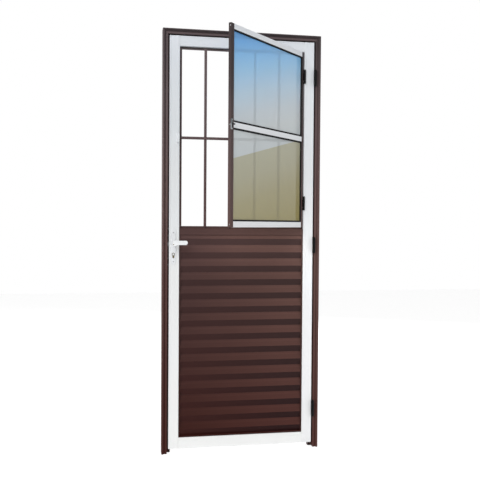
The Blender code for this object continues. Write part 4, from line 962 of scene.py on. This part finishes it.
class DOOR_OT_drive_screws(bpy.types.Operator):
    """Drives the screws of the handles, the strike, the lock, the casement, its catch and the grille bars"""
    bl_idname = "door.drive_screws"
    bl_label = "Drive screws"

    def execute(self, context):
        fixing = context.scene.door_fixing
        steel = metal("Screw steel", context.scene.door_finish.steel, 0.30, brushed=200.0)
        dark = bpy.data.materials["Blackened steel"]
        brass = bpy.data.materials["Turned brass"]
        master = screw_master(fixing.sides)
        for side in ("outside", "inside"):
            places = self.on_handle_plate(*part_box(f"escutcheon_{side}"), FRONT if side == "outside" else BACK)
            screws(f"plate_screws_{side}", master, places, fixing.plate_screw, "leaf", steel)
        places = self.near_ends(*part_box("strike_plate"), RIGHT)
        screws("strike_screws", master, places, fixing.bolt_screw, "frame", steel)
        places = self.near_ends(*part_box("lock_case"), LEFT)
        screws("lock_screws", master, places, fixing.bolt_screw, "leaf", steel)
        places = self.on_stile()
        screws("casement_stile_screws", master, places, fixing.sash_screw, "casement", steel)
        places = self.on_catch()
        screws("catch_screws", master, places, fixing.catch_screw, "casement", steel)
        places = []
        for number in range(1, GRILLE_BARS + 1):
            low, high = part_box(f"grille_bar_{number}")
            places.append((((low.x + high.x) / 2, low.y, low.z + BAR_SCREW_RISE), FRONT))
        # Blackened so that these screws also give the dark spot of the shadow at each bar's foot: painted
        # shadow.
        screws("bar_foot_screws", master, places, fixing.bar_screw, "leaf", dark)
        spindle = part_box("lever_spindle")
        height = (spindle[0].z + spindle[1].z) / 2
        low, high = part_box("lever_outside")
        places = [((low.x + fixing.grub_inset, low.y + fixing.grub_sink, height), FRONT)]
        screws("lever_grub_screw", master, places, fixing.grub_screw, "levers", brass)
        bpy.data.objects.remove(master)
        return {"FINISHED"}

    def on_handle_plate(self, low, high, outward):
        """Places of the screws above and below the handle, on the face of its plate."""
        face = low.y if outward.y < 0 else high.y
        heights = (low.z + PLATE_SCREW_RISE, high.z - PLATE_SCREW_DROP)
        return [(((low.x + high.x) / 2, face, z), outward) for z in heights]

    def near_ends(self, low, high, outward):
        """Places of the screws near the ends of an upright plate in the door's edge or in the jamb."""
        face = low.x if outward.x < 0 else high.x
        heights = (low.z + BOLT_SCREW_END, high.z - BOLT_SCREW_END)
        return [((face, (low.y + high.y) / 2, z), outward) for z in heights]

    def on_stile(self):
        """Places of the screws through the edge of the casement's free stile, one at each rail."""
        turn = sash_turn()
        outward = turn.to_3x3() @ LEFT
        low, _ = shut_box("sash_stile_free")
        places = []
        for rail in ("top", "middle", "bottom"):
            rail_low, rail_high = shut_box(f"sash_{rail}_rail")
            spot = (low.x + SASH_SCREW_SINK, low.y + SASH_SCREW_SETBACK, (rail_low.z + rail_high.z) / 2)
            places.append((turn @ Vector(spot), outward))
        return places

    def on_catch(self):
        """Places of the screws near the ends of the catch plate."""
        turn = sash_turn()
        outward = turn.to_3x3() @ FRONT
        low, high = shut_box("catch_base")
        heights = (low.z + CATCH_SCREW_END, high.z - CATCH_SCREW_END)
        return [(turn @ Vector(((low.x + high.x) / 2, low.y, z)), outward) for z in heights]


class DOOR_OT_set_stage(bpy.types.Operator):
    """Sets the floor, the lamps, the sky and the camera"""
    bl_idname = "door.set_stage"
    bl_label = "Set stage"

    def execute(self, context):
        stage = context.scene.door_stage
        self.floor(stage)
        for name, power, place, aim, size in LAMPS:
            self.lamp(context, name, place, aim, size, getattr(stage, power))
        self.sky(context, stage)
        self.camera(context, stage)
        return {"FINISHED"}

    def seen_directly(self, nodes, links):
        """1 where the camera, a mirror or clear glass looks, and 0 for the light that falls on things."""
        path = nodes.new("ShaderNodeLightPath").outputs
        first = math_node(nodes, links, "MAXIMUM", path["Is Camera Ray"], path["Is Glossy Ray"])
        return math_node(nodes, links, "MAXIMUM", first, path["Is Transmission Ray"])

    def floor(self, stage):
        """A pale matt floor that looks brighter than it lights."""
        deselect()
        bpy.ops.mesh.primitive_plane_add(size=FLOOR_SIZE, location=(0.0, 0.0, FLOOR_HEIGHT))
        floor = bpy.context.object
        floor.name = "floor"
        settle(floor)
        material, nodes, links, shader = new_tree("Pale floor")
        grain = noise_node(nodes, links, object_place(nodes), scale=2.0, detail=2.0)
        tone = mix_colour(nodes, links, grain, grey(stage.floor_tone), grey(stage.floor_tone * FLOOR_GRAIN))
        links.new(tone, shader.inputs["Base Color"])
        shader.inputs["Roughness"].default_value = 0.9
        shader.inputs["Emission Color"].default_value = grey(1.0)
        lift = math_node(nodes, links, "MULTIPLY", self.seen_directly(nodes, links), stage.floor_lift)
        links.new(lift, shader.inputs["Emission Strength"])
        floor.data.materials.append(material)

    def lamp(self, context, name, place, aim, size, power):
        """A square lamp that doesn't show through the glass."""
        data = bpy.data.lights.new(name, "AREA")
        data.shape = "SQUARE"
        data.size = size
        data.energy = power
        lamp = bpy.data.objects.new(name, data)
        lamp.location = place
        lamp.rotation_euler = (Vector(aim) - Vector(place)).to_track_quat("-Z", "Y").to_euler()
        lamp.visible_transmission = False
        context.scene.collection.objects.link(lamp)

    def sky(self, context, stage):
        """An even white sky that lights less than it shows."""
        world = bpy.data.worlds.new("Even sky")
        world.use_nodes = True
        nodes, links = world.node_tree.nodes, world.node_tree.links
        nodes.clear()
        output = nodes.new("ShaderNodeOutputWorld")
        background = nodes.new("ShaderNodeBackground")
        background.inputs["Color"].default_value = grey(1.0)
        seen = self.seen_directly(nodes, links)
        strength = range_node(nodes, links, seen, 0.0, 1.0, stage.sky_strength, 1.0)
        links.new(strength, background.inputs["Strength"])
        links.new(background.outputs["Background"], output.inputs["Surface"])
        context.scene.world = world

    def camera(self, context, stage):
        """The camera, and the plain view transform."""
        pitch, roll, yaw = stage.camera_turn
        turn = Matrix.Rotation(yaw, 3, "Z")
        ahead = turn @ Vector((0.0, math.cos(pitch), math.sin(pitch)))
        right = turn @ RIGHT
        up = right.cross(ahead)
        across = math.cos(roll) * right + math.sin(roll) * up
        over = math.cos(roll) * up - math.sin(roll) * right
        data = bpy.data.cameras.new("Door camera")
        data.lens = stage.lens
        data.sensor_width = FILM_WIDTH
        camera = bpy.data.objects.new("Door camera", data)
        matrix = Matrix((across, over, -ahead)).transposed().to_4x4()
        matrix.translation = Vector(stage.camera_place)
        camera.matrix_world = matrix
        context.scene.collection.objects.link(camera)
        context.scene.camera = camera
        context.scene.view_settings.view_transform = "Standard"


class DOOR_PT_looks(bpy.types.Panel):
    """Lists the steps that dress the door, and their settings"""
    bl_idname = "DOOR_PT_looks"
    bl_label = "Aluminium door"
    bl_space_type = "VIEW_3D"
    bl_region_type = "UI"
    bl_category = "Door"

    def draw(self, context):
        for step in STEPS:
            self.layout.operator(step.bl_idname)
        for name, kind in SETTINGS.items():
            for key in kind.__annotations__:
                self.layout.prop(getattr(context.scene, name), key)


STEPS = (
    DOOR_OT_paint_frame,
    DOOR_OT_paint_leaf,
    DOOR_OT_paint_panel,
    DOOR_OT_glaze_casement,
    DOOR_OT_seat_casement_trim,
    DOOR_OT_finish_hardware,
    DOOR_OT_drive_screws,
    DOOR_OT_set_stage,
)
SETTINGS = {
    "door_finish": DoorFinishSettings,
    "door_panel": DoorPanelSettings,
    "door_trim": DoorTrimSettings,
    "door_fixing": DoorFixingSettings,
    "door_stage": DoorStageSettings,
}
CLASSES = (*SETTINGS.values(), *STEPS, DOOR_PT_looks)


def register():
    for item in CLASSES:
        bpy.utils.register_class(item)
    for name, group in SETTINGS.items():
        setattr(bpy.types.Scene, name, PointerProperty(type=group))


def unregister():
    for name in SETTINGS:
        delattr(bpy.types.Scene, name)
    for item in reversed(CLASSES):
        bpy.utils.unregister_class(item)


def main():
    register()
    bpy.ops.door.paint_frame()
    bpy.ops.door.paint_leaf()
    bpy.ops.door.paint_panel()
    bpy.ops.door.glaze_casement()
    bpy.ops.door.seat_casement_trim()
    bpy.ops.door.finish_hardware()
    bpy.ops.door.drive_screws()
    bpy.ops.door.set_stage()


if __name__ == "__main__":
    main()
